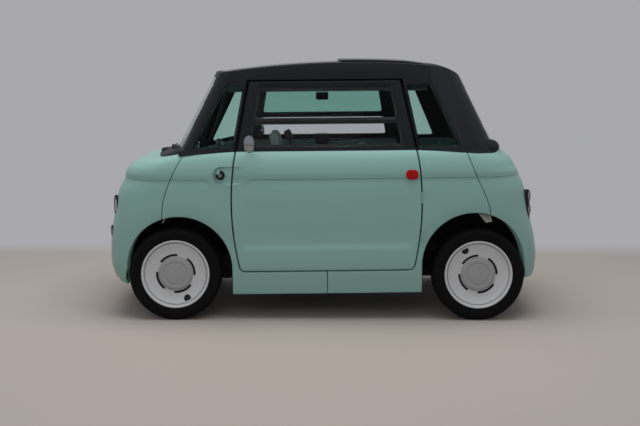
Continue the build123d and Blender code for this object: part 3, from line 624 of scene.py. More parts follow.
def grid_faces(count_a, count_b, wrap_a, wrap_b):
    """Quads over a grid of points, wrapped round either way where asked."""
    faces = []
    for i in range(count_a if wrap_a else count_a - 1):
        for j in range(count_b if wrap_b else count_b - 1):
            k, n = (i + 1) % count_a, (j + 1) % count_b
            faces.append((i * count_b + j, k * count_b + j, k * count_b + n, i * count_b + n))
    return faces


def turned(profile, place, segments=96, wide=1.0, high=1.0):
    """A closed profile of (radius, height) turned about a part's z axis."""
    points = []
    for i in range(segments):
        turn = math.tau * i / segments
        points += [place @ Vector((r * wide * math.cos(turn), r * high * math.sin(turn), h))
                   for r, h in profile]
    return points, grid_faces(segments, len(profile), True, True)


def bar(rings):
    """A closed bar through rings of points, with flat ends."""
    points = [p for ring in rings for p in ring]
    around = len(rings[0])
    ends = [tuple(range(around)), tuple(len(points) - 1 - i for i in range(around))]
    return points, grid_faces(len(rings), around, False, True) + ends


def joined(*shapes):
    """Several (points, faces) shapes as one."""
    points, faces = [], []
    for more_points, more_faces in shapes:
        start = len(points)
        points += list(more_points)
        faces += [tuple(start + i for i in face) for face in more_faces]
    return points, faces


def slab(outline, low, high, place, bevel=2.0, segments=3):
    """An outline raised between two heights along a part's z axis, with rounded edges."""
    edit = bmesh.new()
    face = edit.faces.new([edit.verts.new((x, y, low)) for x, y in outline])
    raised = bmesh.ops.extrude_face_region(edit, geom=[face])["geom"]
    top = [part for part in raised if isinstance(part, bmesh.types.BMVert)]
    bmesh.ops.translate(edit, vec=(0, 0, high - low), verts=top)
    bmesh.ops.recalc_face_normals(edit, faces=edit.faces)
    if bevel:
        sharp = [e for e in edit.edges if e.calc_face_angle(0) > 0.5]
        bmesh.ops.bevel(edit, geom=sharp, offset=bevel, segments=segments, profile=0.5, affect="EDGES",
                        clamp_overlap=True)
    edit.verts.index_update()
    points = [place @ v.co for v in edit.verts]
    faces = [tuple(v.index for v in f.verts) for f in edit.faces]
    edit.free()
    return points, faces


def rounded_box(width, height, radius, count=6):
    """Outline of a rectangle with round corners, about its middle."""
    x, y = width / 2 - radius, height / 2 - radius
    return (arc(x, -y, radius, -90, 0, count) + arc(x, y, radius, 0, 90, count)
            + arc(-x, y, radius, 90, 180, count) + arc(-x, -y, radius, 180, 270, count))


def tube(path, radius, sides=16, place=STAND):
    """A round bar along a line of points, with domed ends."""
    path = [Vector(p) for p in path]
    rings, up = [], Vector((0.3, 0.2, 1.0)).normalized()
    for i, point in enumerate(path):
        along = (path[min(i + 1, len(path) - 1)] - path[max(i - 1, 0)]).normalized()
        across = along.cross(up).normalized()
        over = across.cross(along)
        ends = [(0.0, -1.0), (0.7, -0.7)] if i == 0 else []
        shares = ends + [(1.0, 0.0)] + ([(0.7, 0.7), (0.0, 1.0)] if i == len(path) - 1 else [])
        for share, ahead in shares:
            middle = point + along * radius * ahead * 0.6
            rings.append([place @ (middle + (across * math.cos(math.tau * k / sides)
                                             + over * math.sin(math.tau * k / sides)) * radius * share)
                          for k in range(sides)])
    return [p for ring in rings for p in ring], grid_faces(len(rings), sides, False, True)


def softened(node, name, width, material, body, segments=2):
    """A copy of a node's solid with its coplanar triangles joined and its edges rounded."""
    mesh = NODES[node].data.copy()
    with edited(mesh) as edit:
        bmesh.ops.remove_doubles(edit, verts=edit.verts, dist=2e-5)
        bmesh.ops.dissolve_limit(edit, angle_limit=math.radians(0.5), verts=edit.verts, edges=edit.edges)
    holder = bpy.data.objects.new("rough_" + name, mesh)
    bpy.context.scene.collection.objects.link(holder)
    bevel = holder.modifiers.new("edges", "BEVEL")
    bevel.width = width / 1000
    bevel.segments = segments
    bevel.limit_method = "ANGLE"
    bevel.angle_limit = math.radians(35)
    bevel.use_clamp_overlap = True
    return finish_piece(name, baked_mesh(holder, name), material, body, (node,), sharp=30)


def baked_mesh(holder, name):
    """The plain mesh that an object's modifiers give; the object itself is removed."""
    bpy.context.view_layer.update()
    graph = bpy.context.evaluated_depsgraph_get()
    mesh = bpy.data.meshes.new_from_object(holder.evaluated_get(graph))
    mesh.name = name
    bpy.data.objects.remove(holder)
    return mesh


def repeat_tree():
    """Geometry nodes that repeat a block, moved and turned a little more for each copy."""
    tree = bpy.data.node_groups.new("repeat_block", "GeometryNodeTree")
    kinds = (("Block", "Object"), ("Count", "Int"), ("Move", "Vector"), ("Turn", "Vector"),
             ("Finish", "Material"))
    for label, kind in kinds:
        tree.interface.new_socket(name=label, in_out="INPUT", socket_type="NodeSocket" + kind)
    tree.interface.new_socket(name="Geometry", in_out="OUTPUT", socket_type="NodeSocketGeometry")
    given = add(tree, "NodeGroupInput").outputs
    line = add(tree, "GeometryNodeMeshLine", links={"Count": given["Count"], "Offset": given["Move"]})
    block = add(tree, "GeometryNodeObjectInfo", links={"Object": given["Block"]})
    index = add(tree, "GeometryNodeInputIndex")
    turn = add(tree, "ShaderNodeVectorMath", {"operation": "SCALE"},
               {"Vector": given["Turn"], "Scale": index.outputs["Index"]})
    copies = add(tree, "GeometryNodeInstanceOnPoints",
                 links={"Points": line.outputs["Mesh"], "Instance": block.outputs["Geometry"],
                        "Rotation": turn.outputs["Vector"]})
    real = add(tree, "GeometryNodeRealizeInstances", links={"Geometry": copies.outputs["Instances"]})
    finish = add(tree, "GeometryNodeSetMaterial",
                 links={"Geometry": real.outputs["Geometry"], "Material": given["Finish"]})
    add(tree, "NodeGroupOutput", links={"Geometry": finish.outputs["Geometry"]})
    return tree


def repeated(name, shape, count, move, turn, place, material, body):
    """A block's copies as one piece: count of them, moved and turned step by step, then placed."""
    tree = bpy.data.node_groups.get("repeat_block") or repeat_tree()
    mesh = bpy.data.meshes.new("block_" + name)
    mesh.from_pydata([tuple(p) for p in shape[0]], [], shape[1])
    block = bpy.data.objects.new("block_" + name, mesh)
    holder = bpy.data.objects.new("copies_" + name, bpy.data.meshes.new("copies_" + name))
    bpy.context.scene.collection.objects.link(holder)
    modifier = holder.modifiers.new("copies", "NODES")
    modifier.node_group = tree
    values = {"Block": block, "Count": count, "Move": move, "Turn": turn, "Finish": material}
    for item in tree.interface.items_tree:
        if item.item_type == "SOCKET" and item.in_out == "INPUT":
            modifier[item.identifier] = values[item.name]
    baked = baked_mesh(holder, name)
    baked.transform(place)
    bpy.data.objects.remove(block)
    with edited(baked) as edit:
        bmesh.ops.recalc_face_normals(edit, faces=edit.faces)
    return finish_piece(name, baked, material, body)


# ---------------------------------------------------------------- colours and finishes
def linear(code):
    """Linear colour of an sRGB hex code."""
    parts = [int(code[i:i + 2], 16) / 255 for i in (1, 3, 5)]
    return tuple(c / 12.92 if c <= 0.04045 else ((c + 0.055) / 1.055) ** 2.4 for c in parts) + (1.0,)


def join(tree, node, links):
    """Other nodes' outputs joined to a node's inputs."""
    for key, output in links.items():
        tree.links.new(output, node.inputs[key])


def add(tree, kind, settings=None, links=None):
    """A new node with its settings, its inputs joined to other nodes' outputs."""
    node = tree.nodes.new(kind)
    for key, value in (settings or {}).items():
        if isinstance(key, str) and hasattr(node, key):
            setattr(node, key, value)
        else:
            node.inputs[key].default_value = value
    join(tree, node, links or {})
    return node


def object_place(tree):
    """The place on the object, in metres, which patterns are drawn by."""
    return add(tree, "ShaderNodeTexCoord").outputs["Object"]


def finish(name, settings):
    """A material with its tree and shader, or the one of that name without them if it is there already."""
    material = bpy.data.materials.get(name)
    if material:
        return material, None, None
    material = bpy.data.materials.new(name)
    material.use_nodes = True
    tree = material.node_tree
    shader = tree.nodes["Principled BSDF"]
    for key, value in settings.items():
        shader.inputs[key].default_value = value
    return material, tree, shader


def patterned(tree, shader, base, spread, patch_mm, grain_mm, grain_depth_mm, rough, rough_spread):
    """Colour that drifts between two tones over patches, a grained surface and uneven gloss."""
    dark = tuple(c * (1 - spread) for c in base[:3]) + (1.0,)
    light = tuple(c * (1 + spread) for c in base[:3]) + (1.0,)
    place = object_place(tree)
    patch = add(tree, "ShaderNodeTexNoise", {"Scale": 1000 / patch_mm, "Detail": 3.0}, {"Vector": place})
    tone = add(tree, "ShaderNodeMixRGB", {"Color1": dark, "Color2": light}, {"Fac": patch.outputs["Fac"]})
    grain = add(tree, "ShaderNodeTexNoise", {"Scale": 1000 / grain_mm, "Detail": 2.0}, {"Vector": place})
    bump = add(tree, "ShaderNodeBump", {"Strength": 1.0, "Distance": grain_depth_mm / 1000},
               {"Height": grain.outputs["Fac"]})
    gloss = add(tree, "ShaderNodeMapRange", {"To Min": rough - rough_spread, "To Max": rough + rough_spread},
                {"Value": patch.outputs["Fac"]})
    join(tree, shader, {"Base Color": tone.outputs["Color"], "Normal": bump.outputs["Normal"],
                        "Roughness": gloss.outputs["Result"]})


# Moulded and painted finishes: name, colour, roughness, size of the patches and of the grain and the
# grain's depth in millimetres, spread of tone, and the shader's other settings
FINISHES = {
    # Glass-filled polypropylene with a fine leather grain: dull black, a little grey in the light
    "frame": ("grained_polypropylene_black", "#111416", 0.5, 300, 2.2, 0.05, 0.08,
              {"IOR": 1.49, "Specular IOR Level": 0.3}),
    # Lacquered sheet over foam: smooth black with a broad soft highlight
    "roof": ("lacquered_roof_black", "#0e1112", 0.30, 500, 14, 0.02, 0.08,
             {"IOR": 1.5, "Specular IOR Level": 0.35}),
    # Moulded hoop in grained polypropylene, painted greyer than the frame: painted light from the sky that it
    # faces
    "hoop": ("grained_black_painted_sky_light", "#181c1f", 0.58, 300, 2.6, 0.06, 0.08,
             {"IOR": 1.49, "Specular IOR Level": 0.35}),
    # Extruded EPDM seal: matt black that swallows light
    "seal": ("seal_rubber_black", "#0c0e0f", 0.8, 300, 1.6, 0.04, 0.08, {}),
    # Satin chrome on ABS: a bright metal with a slight orange-peel ripple
    "chrome": ("satin_chrome", "#a4a7aa", 0.16, 60, 12, 0.01, 0.03, {"Metallic": 1.0}),
    # Vacuum-metallised bowl: a near mirror
    "reflector": ("metallised_bowl", "#c9ccd0", 0.08, 40, 8, 0.01, 0.03, {"Metallic": 1.0}),
    # Carbon-black rubber: matt, with greyish bloom and fine mould marks
    "tyre": ("carbon_black_tyre", "#0c0c0c", 0.78, 45, 2.0, 0.08, 0.18, {"Specular IOR Level": 0.12}),
    # Silver-painted pressed cover: light grey with a low metallic glint
    "wheel_paint": ("silver_wheel_paint", "#b4b5b6", 0.45, 90, 3, 0.02, 0.03, {"Metallic": 0.05}),
    # Moulded nylon cap painted mid grey, duller than the cover round it
    "cap": ("grey_cap_paint", "#8b8b8b", 0.5, 70, 2.5, 0.02, 0.04, {}),
    # Pressed steel wheel, electro-coated black
    "wheel_steel": ("coated_wheel_steel", "#101112", 0.5, 80, 4, 0.05, 0.08, {}),
    # Welded steel tube and plate in black electro-coat, a little dusty
    "chassis": ("coated_chassis_steel", "#1c1d1e", 0.55, 120, 3, 0.08, 0.2, {}),
    # Turned, zinc-plated steel: pale grey metal
    "zinc": ("zinc_plated_steel", "#9a9c9e", 0.34, 30, 1.5, 0.02, 0.08, {"Metallic": 1.0}),
    # Felted polyester wheel liner: black, soft and rough
    "liner": ("felted_liner", "#0b0c0c", 0.95, 60, 3, 0.5, 0.25, {}),
    # Compression-moulded underfloor: dark grey with a coarse fibre texture
    "floor": ("moulded_underfloor", "#17191a", 0.8, 140, 4, 0.2, 0.2, {}),
    # Talc-filled polypropylene trim: matt warm grey with a pebble grain
    "cabin": ("pebbled_cabin_trim", "#3a3f40", 0.6, 300, 2.4, 0.08, 0.08, {}),
    # Light insert of the instrument hood, the same trim in a pale grey
    "pale_trim": ("pale_cabin_trim", "#9ba3a2", 0.5, 300, 2.4, 0.05, 0.08, {}),
    # Blow-moulded seat shell: grey-green polyethylene with a soft sheen
    "shell": ("moulded_seat_shell", "#5c6f6c", 0.48, 200, 3, 0.05, 0.08, {}),
    # Polyurethane rim and soft controls: black, worn smooth where it is held
    "control": ("soft_control_black", "#16181a", 0.42, 50, 1.8, 0.04, 0.08, {}),
    # Powder-coated sheet steel case: mid grey with a pebbled coat
    "battery": ("powder_coated_case", "#4c5052", 0.55, 90, 2.5, 0.06, 0.08, {}),
    # Through-coloured red acetal handle: smooth and slightly waxy
    "red": ("red_handle_plastic", "#980408", 0.35, 40, 5, 0.01, 0.08,
            {"IOR": 1.48, "Specular IOR Level": 0.2}),
    # Natural white nylon clip
    "nylon": ("white_nylon", "#c9cac8", 0.5, 30, 2, 0.02, 0.08, {}),
    # Blank number plate: white retro-reflective sheet under clear film
    "plate": ("blank_plate_sheet", "#d4d6d4", 0.3, 20, 2, 0.02, 0.03, {}),
}


def coat(key):
    """A moulded or painted finish of one colour with its own grain."""
    name, code, rough, patch_mm, grain_mm, grain_depth_mm, spread, settings = FINISHES[key]
    material, tree, shader = finish(name, settings)
    if tree:
        patterned(tree, shader, linear(code), spread, patch_mm, grain_mm, grain_depth_mm, rough, 0.06)
    return material


def recoat(node, key):
    """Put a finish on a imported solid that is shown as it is."""
    NODES[node].data.materials.clear()
    NODES[node].data.materials.append(coat(key))


def body_plastic():
    # Through-coloured ABS with a thin acrylic cap: satin, with a faint moulding ripple.
    material, tree, shader = finish("moulded_abs_body", {"IOR": 1.49})
    if tree:
        base = tuple(bpy.context.scene.microcar_colours.body)
        patterned(tree, shader, base, 0.025, 450, 9.0, 0.012, 0.36, 0.03)
    return material


# Float glass or hard-coated polycarbonate: clear, its colour seen through it
PANES = {
    "roof": ("smoked_roof_glass", "#23282b"), "screen": ("laminated_screen_glass", "#e6f0ee"),
    "quarter": ("tinted_quarter_glass", "#d9f3ea"), "green": ("green_sliding_glass", "#9ad6c1"),
    "door": ("clear_door_glass", "#f2f6f5"),
}


def pane(key):
    """Glass of one colour. A true index of 1.5 would bend the view at each facet of a curved pane."""
    name, code = PANES[key]
    material, tree, shader = finish(name, {
        "Base Color": linear(code), "Transmission Weight": 1.0, "IOR": PANE_INDEX, "Roughness": 0.0})
    if tree:
        place = object_place(tree)
        film = add(tree, "ShaderNodeTexNoise", {"Scale": 1000 / 160.0, "Detail": 4.0}, {"Vector": place})
        haze = add(tree, "ShaderNodeMapRange", {"To Min": 0.0, "To Max": 0.012},
                   {"Value": film.outputs["Fac"]})
        join(tree, shader, {"Roughness": haze.outputs["Result"]})
    return material


def lens(name, code, rough=0.05):
    # Injection-moulded acrylic lens with fine flutes.
    material, tree, shader = finish(name, {
        "Base Color": linear(code), "Transmission Weight": 0.85, "IOR": 1.49, "Roughness": rough})
    if tree:
        place = object_place(tree)
        flute = add(tree, "ShaderNodeTexWave", {"Scale": 1000 / 14.0 / 6.283, "bands_direction": "Z"},
                    {"Vector": place})
        bump = add(tree, "ShaderNodeBump", {"Strength": 0.4, "Distance": 0.0006},
                   {"Height": flute.outputs["Fac"]})
        join(tree, shader, {"Normal": bump.outputs["Normal"]})
    return material


def seat_cloth():
    # Plain-woven polyester: threads drawn 3 mm apart, coarser than real so that they show.
    material, tree, shader = finish("woven_seat_cloth", {"Roughness": 0.9, "Sheen Weight": 0.35})
    if tree:
        place = object_place(tree)
        split = add(tree, "ShaderNodeSeparateXYZ", links={"Vector": place})
        wave = []
        for axis in "YZ":
            scaled = add(tree, "ShaderNodeMath", {"operation": "MULTIPLY", 1: math.tau / 0.006},
                         {0: split.outputs[axis]})
            wave.append(add(tree, "ShaderNodeMath", {"operation": "SINE"}, {0: scaled.outputs[0]}).outputs[0])
        weave = add(tree, "ShaderNodeMath", {"operation": "MULTIPLY"}, {0: wave[0], 1: wave[1]})
        share = add(tree, "ShaderNodeMapRange", {"From Min": -1.0}, {"Value": weave.outputs[0]})
        tone = add(tree, "ShaderNodeMixRGB", {"Color1": linear("#30383a"), "Color2": linear("#475254")},
                   {"Fac": share.outputs["Result"]})
        bump = add(tree, "ShaderNodeBump", {"Strength": 0.8, "Distance": 0.0006},
                   {"Height": share.outputs["Result"]})
        join(tree, shader, {"Base Color": tone.outputs["Color"], "Normal": bump.outputs["Normal"]})
    return material


# ---------------------------------------------------------------- painted panels
# Name, side of the car, and way along the car from the door's middle to its lock
HANDS = (("left", 1, 1), ("right", -1, -1))
FRONT_SEAM_X = smooth_curve(sorted((z, x) for x, z in FRONT_SEAM))
REAR_SEAM_X = smooth_curve(sorted((z, -x) for x, z in REAR_SEAM))
FINE_ROWS = ((765, 805, 4.0), (805, 822, 2.0), (822, 885, 4.0))
FINE_COLUMNS = ((440, 700, 7.0),)
# Section of a wheel liner's turned edge: inwards from the arch, and depth behind the skin
ARCH_LIP = ((0.2, 3.0), (3.4, 4.5), (3.4, 66.0), (0.2, 66.0))


def edge_x(z):
    """Half length of the door at a height."""
    return DOOR_HALF - DOOR_EDGE_R + math.sqrt(DOOR_EDGE_R ** 2 - (z - DOOR_WIDEST_Z) ** 2)


def door_edge(shift):
    """A door's lower corner and upright edge, from its foot to the belt."""
    sill = DOOR_SILL_Z - shift
    radius = DOOR_CORNER_R + shift
    tilt = math.asin((DOOR_WIDEST_Z - sill - radius) / DOOR_EDGE_R)
    low = sill + radius * (1 - math.sin(tilt))
    centre_x = edge_x(low) + shift - radius * math.cos(tilt)
    bend = arc(centre_x, sill + radius, radius, -90, -math.degrees(tilt), 8)
    return bend + [(edge_x(z) + shift, z) for z in evenly(low, BELT_Z, 30)[1:]]


def seam_x(z, way):
    """Place of a seam at a height, as if it were at the front."""
    return FRONT_SEAM_X(z) if way > 0 else REAR_SEAM_X(z)


def arch_of(way):
    """A wheel arch as if it were at the front: x, z, radius, and the turn where the seam meets it."""
    x, z, radius = FRONT_ARCH if way > 0 else REAR_ARCH
    meet = math.degrees(math.acos((seam_x(SEAM_FOOT_Z, way) - abs(x)) / radius))
    return abs(x), z, radius, meet


def seam_line(way, shift, low):
    """The seam between a wing and an end panel, from low up to the belt."""
    return [(seam_x(z, way) + shift, z) for z in evenly(low, BELT_Z, 24)]


def wing_loop(way):
    """Outline of a wing with its half of the sill, as if it were at the front."""
    x, z, radius, meet = arch_of(way)
    sill = [(SEAM, SILL_Z), (x - radius, SILL_Z)]
    over = arc(x, z, radius, 180, meet + SEAM_FOOT_TURN, 40)
    seam = seam_line(way, -SEAM, over[-1][1])[1:]
    door = list(reversed(door_edge(DOOR_GAP / 2)))
    return sill + over + seam + door + [(SEAM, DOOR_SILL_Z - DOOR_GAP / 2)]


def end_loop(way):
    """Outline of the nose or tail panel, as distance round it and height."""
    x, z, radius, meet = arch_of(way)
    foot = NOSE_FOOT_Z if way > 0 else TAIL_FOOT_Z
    over = arc(x, z, radius, 0, meet - SEAM_FOOT_TURN, 30)
    side = [(x + radius, foot)] + over + seam_line(way, SEAM, over[-1][1])[1:]
    right = [(distance_at(px, pz, way), pz) for px, pz in side]
    top = [(right[-1][0], BELT_Z + SCUTTLE_W)]
    half = right + top
    return half + [(-d, pz) for d, pz in reversed(half)]


def round_hole(distance, z, radius, count=40):
    """A clockwise round hole in an end panel."""
    turns = [-math.tau * i / count for i in range(count)]
    return [(distance + radius * math.cos(turn), z + radius * math.sin(turn)) for turn in turns]


def pill_hole(distance, z, half, length):
    """A clockwise upright hole with round ends in an end panel."""
    outline = rounded_box(2 * half, length, half - 0.5, 10)
    return [(distance + x, z + y) for x, y in reversed(outline)]


def distance_of_width(y, z, way):
    """Distance round an end at which its outline is a given width from the middle."""
    return halved(lambda d: end_point(d, z, way).y < y, 900.0, 30)


class MICROCAR_OT_wings(bpy.types.Operator):
    """Four wings, each with its half of the sill, the wheel arch band and the lock's recess."""
    bl_idname = "microcar.wings"
    bl_label = "Wings"

    def execute(self, context):
        sizes = context.scene.microcar_sizes
        rows = spaced(140, BELT_Z, sizes.panel_grid, FINE_ROWS)
        for hand, side, lock_way in HANDS:
            for end, way in (("front", 1), ("rear", -1)):
                loop = wing_loop(way)
                bands = FINE_COLUMNS if way == lock_way else ()
                columns = spaced(0, 1000, sizes.panel_grid, bands)
                if way < 0:
                    loop = [(-x, z) for x, z in reversed(loop)]
                    columns = [-x for x in columns]
                name = f"wing_{end}_{hand}"
                plate_piece(name + "_panel", [loop], columns, rows,
                            lambda x, z: lowered(side_point(x, z, side, lock_way)), body_plastic(), "body",
                            "body_paint", (name,))
                self.arch_lip(end, hand, side, way, lock_way)
        return {"FINISHED"}

    def arch_lip(self, end, hand, side, way, lock_way):
        """Turned edge of the wheel liner, which covers the panels' cut edge round an arch."""
        x, z, radius, _ = arch_of(way)
        foot = NOSE_FOOT_Z if way > 0 else TAIL_FOOT_Z
        path = [(x + radius, foot + 3 + (z - foot) * i / 6, -1.0, 0.0) for i in range(6)]
        for px, pz in arc(x, z, radius, 0, 180, 60):
            path.append((px, pz, (x - px) / radius, (z - pz) / radius))
        path += [(x - radius, z + (SILL_Z + 4 - z) * i / 8, 1.0, 0.0) for i in range(1, 9)]
        rings = []
        for px, pz, in_x, in_z in path:
            skin = side_point(px * way, pz, side, lock_way)
            rings.append([stand((px + in_x * inwards) * way, skin.y - side * depth, pz + in_z * inwards)
                          for inwards, depth in ARCH_LIP])
        mesh_piece(f"arch_lip_{end}_{hand}", *bar(rings), coat("liner"), "body", "floor_black")


class MICROCAR_OT_ends(bpy.types.Operator):
    """Nose with its scuttle and the tail panel, with holes for the lamps."""
    bl_idname = "microcar.ends"
    bl_label = "Nose and tail"

    def execute(self, context):
        sizes = context.scene.microcar_sizes
        for name, way, lamps in (("front_panel", 1, FRONT_LAMPS), ("rear_panel", -1, ())):
            loops = [end_loop(way)]
            for hand in (1, -1):
                for y, z, radius, _ in lamps:
                    at = distance_of_width(y, z, way)
                    loops.append(round_hole(hand * at, z, radius - LAMP_LAP))
                if way < 0:
                    y, z, half, _ = TAIL_LAMP
                    loops.append(pill_hole(hand * distance_of_width(y, z, way), z, half - LAMP_LAP,
                                           TAIL_LAMP_H - 2 * LAMP_LAP))
            rows = spaced(190, BELT_Z + SCUTTLE_W, sizes.panel_grid, FINE_ROWS + ((960, 982, 3.0),))
            plate_piece(name + "_skin", loops, spaced(-1000, 1000, sizes.panel_grid), rows,
                        lambda d, z: lowered(end_point(d, z, way)), body_plastic(), "body", "body_paint",
                        (name,))
        return {"FINISHED"}


def hinge_pin(place, half, lift=0):
    """A pin with chamfered ends along a hinge's axis."""
    ring = ((0.5, -half), (4.2, -half), (4.6, 1 - half), (4.6, half - 1), (4.2, half), (0.5, half))
    return turned([(r, h + lift) for r, h in ring], place, 20)


class MICROCAR_OT_doors(bpy.types.Operator):
    """Two identical door skins, one turned round to serve the other side, with their hinges."""
    bl_idname = "microcar.doors"
    bl_label = "Doors"

    def execute(self, context):
        sizes = context.scene.microcar_sizes
        right = door_edge(-DOOR_GAP / 2)
        loop = right + [(-x, z) for x, z in reversed(right)]
        ridge = ((DOOR_RIDGE_Z - 4, DOOR_RIDGE_Z + 48, 6.0),)
        rows = spaced(280, BELT_Z, sizes.panel_grid, FINE_ROWS + ridge)
        for hand, side, lock_way in HANDS:
            columns = [x * lock_way for x in spaced(-560, 560, sizes.panel_grid, FINE_COLUMNS)]
            name = "door_skin_" + hand
            body = "door_" + hand
            plate_piece(name + "_panel", [loop], columns, rows, lambda x, z: side_point(x, z, side, lock_way),
                        body_plastic(), body, "body_paint", (name,))
            self.hinges(hand, side, lock_way, body)
            self.handle(hand, side, lock_way, body)
        return {"FINISHED"}

    def hinges(self, hand, side, lock_way, body):
        """Barrels on the door and ears on the wing, either side of each barrel."""
        for count, z in enumerate(HINGE_HEIGHTS):
            place = facing((-DOOR_HALF * lock_way, side * HINGE_Y, z), (0, 0, 1), up=(0, 1, 0))
            barrel = hinge_pin(place, 17)
            mesh_piece(f"hinge_barrel_{hand}_{count}", *barrel, body_plastic(), body, "body_paint")
            ears = joined(hinge_pin(place, 7, -25), hinge_pin(place, 7, 25))
            mesh_piece(f"hinge_ears_{hand}_{count}", *ears, body_plastic(), "body", "body_paint")

    def handle(self, hand, side, lock_way, body):
        """Small red pull at the hinge side of the door."""
        x, z = PULL[0] * lock_way, PULL[1]
        face = side_point(x, z, side, lock_way)
        place = facing(face, (0, side, 0))
        shape = slab(rounded_box(PULL[2], PULL[3], 22, 8), -6, 8, place, bevel=4.5, segments=4)
        mesh_piece("pull_" + hand, *shape, coat("red"), body, "body_paint")


# ---------------------------------------------------------------- glasshouse
class MICROCAR_OT_glasshouse(bpy.types.Operator):
    """Black cabin frame, rear hoop, roof skin and the fixed glass."""
    bl_idname = "microcar.glasshouse"
    bl_label = "Glasshouse"

    def execute(self, context):
        edge = context.scene.microcar_sizes.frame_edge * 1000
        softened("cabin_frame", "cabin_frame_moulding", edge, coat("frame"), "body")
        # The hoop's finish is the frame's black painted greyer: painted light from the sky above it
        softened("rear_hoop", "rear_hoop_moulding", edge, coat("hoop"), "body")
        softened("roof_rear", "roof_skin", 2.0, coat("roof"), "body", 3)
        softened("roof_glass", "roof_pane", 0.8, pane("roof"), "body", 1)
        softened("quarter_glasses", "quarter_panes", 0.8, pane("quarter"), "body", 1)
        for hand, side, lock_way in HANDS:
            self.header_trim(hand, side)
            self.foot_trims(hand, side, lock_way)
            self.foot_corner(hand, side)
        self.screen_border()
        self.screen("windscreen", 1, SCREEN)
        self.screen("rear_window", -1, REAR_SCREEN)
        return {"FINISHED"}

    def screen(self, node, way, sizes):
        """Bowed screen of even thickness, in the glasshouse's front or rear surface."""
        low_half, high_half, low_z, high_z = sizes
        corners = [(-low_half, low_z), (low_half, low_z), (high_half, high_z), (-high_half, high_z)]
        loop = [(SCREEN_BOW_R * math.asin(y / SCREEN_BOW_R), z)
                for y, z in filleted(corners, SCREEN_CORNER_R)]
        plate_piece(node + "_pane", [loop], spaced(-560, 560, 28), spaced(low_z, high_z, 28),
                    lambda along, z: screen_point(along, z, way), pane("screen"), "body", "clear_glass",
                    (node,), thickness=PANE_T, edge=0.8, spacing=14.0)

    def screen_border(self):
        """Black border behind the windscreen's edge, wider at the pillars."""
        def place(along, z):
            return screen_point(along, z, 1, 13.0)

        outer = [(-556, 990), (556, 990), (474, 1388), (-474, 1388)]
        hole = [(-455, 1022), (-382, 1352), (382, 1352), (455, 1022)]
        plate_piece("screen_border", [outer, hole], spaced(-560, 560, 30), spaced(985, 1392, 30), place,
                    coat("seal"), "body", "frame_black", thickness=3.0, edge=1.0, spacing=14.0)

    def header_trim(self, hand, side):
        """Trim that hangs under the roof's side, inside the doors."""
        depth, thick, top = FRAME_WALL + 30, 10.0, 1392
        section = ((HEADER_Z, 0), (top, 0), (top, thick), (HEADER_Z, thick))
        rings = [[stand(x, side * (canopy_width(z) - depth - inner), z) for z, inner in section]
                 for x in spaced(-590, 560, 60.0)]
        mesh_piece("header_trim_" + hand, *bar(rings), coat("cabin"), "body", "cabin_grey")

    def foot_trims(self, hand, side, lock_way):
        """Black strips over the wings' top edges, deeper towards the glasshouse's corners."""
        front = [(518, 974), (518, 968), (620, 964), (740, 957), (822, 950), (836, 951), (838, 974)]
        rear = [(-518, 974), (-1000, 974), (-1001, 968), (-985, 955), (-959, 946), (-870, 948), (-787, 952),
                (-640, 962), (-518, 968)]
        proud = Vector((0, side * 2.0, 0))
        for end, loop in (("front", front), ("rear", rear)):
            low, high = min(x for x, _ in loop), max(x for x, _ in loop)
            plate_piece(f"foot_trim_{end}_{hand}", [loop], spaced(low, high, 20), spaced(940, 978, 8),
                        lambda x, z: side_point(x, z, side, lock_way) + proud, coat("frame"), "body",
                        "frame_black", thickness=5.0, edge=1.2, spacing=8.0)

    def foot_corner(self, hand, side):
        """Rounded cover at the hoop's foot, beside the rear window."""
        turns = [math.radians(9 * i) for i in range(-10, 11)]
        dome = [(max(math.cos(turn), 0.003), 44 * math.sin(turn)) for turn in turns]
        place = facing((-944, side * 552, 976), (0, 0, 1), up=(1, 0, 0))
        points, faces = turned(dome, place, 40, wide=56, high=54)
        # The cover takes the hoop's black, painted greyer as painted light from the sky
        mesh_piece("hoop_foot_" + hand, points, faces, coat("hoop"), "body", "hoop_black")


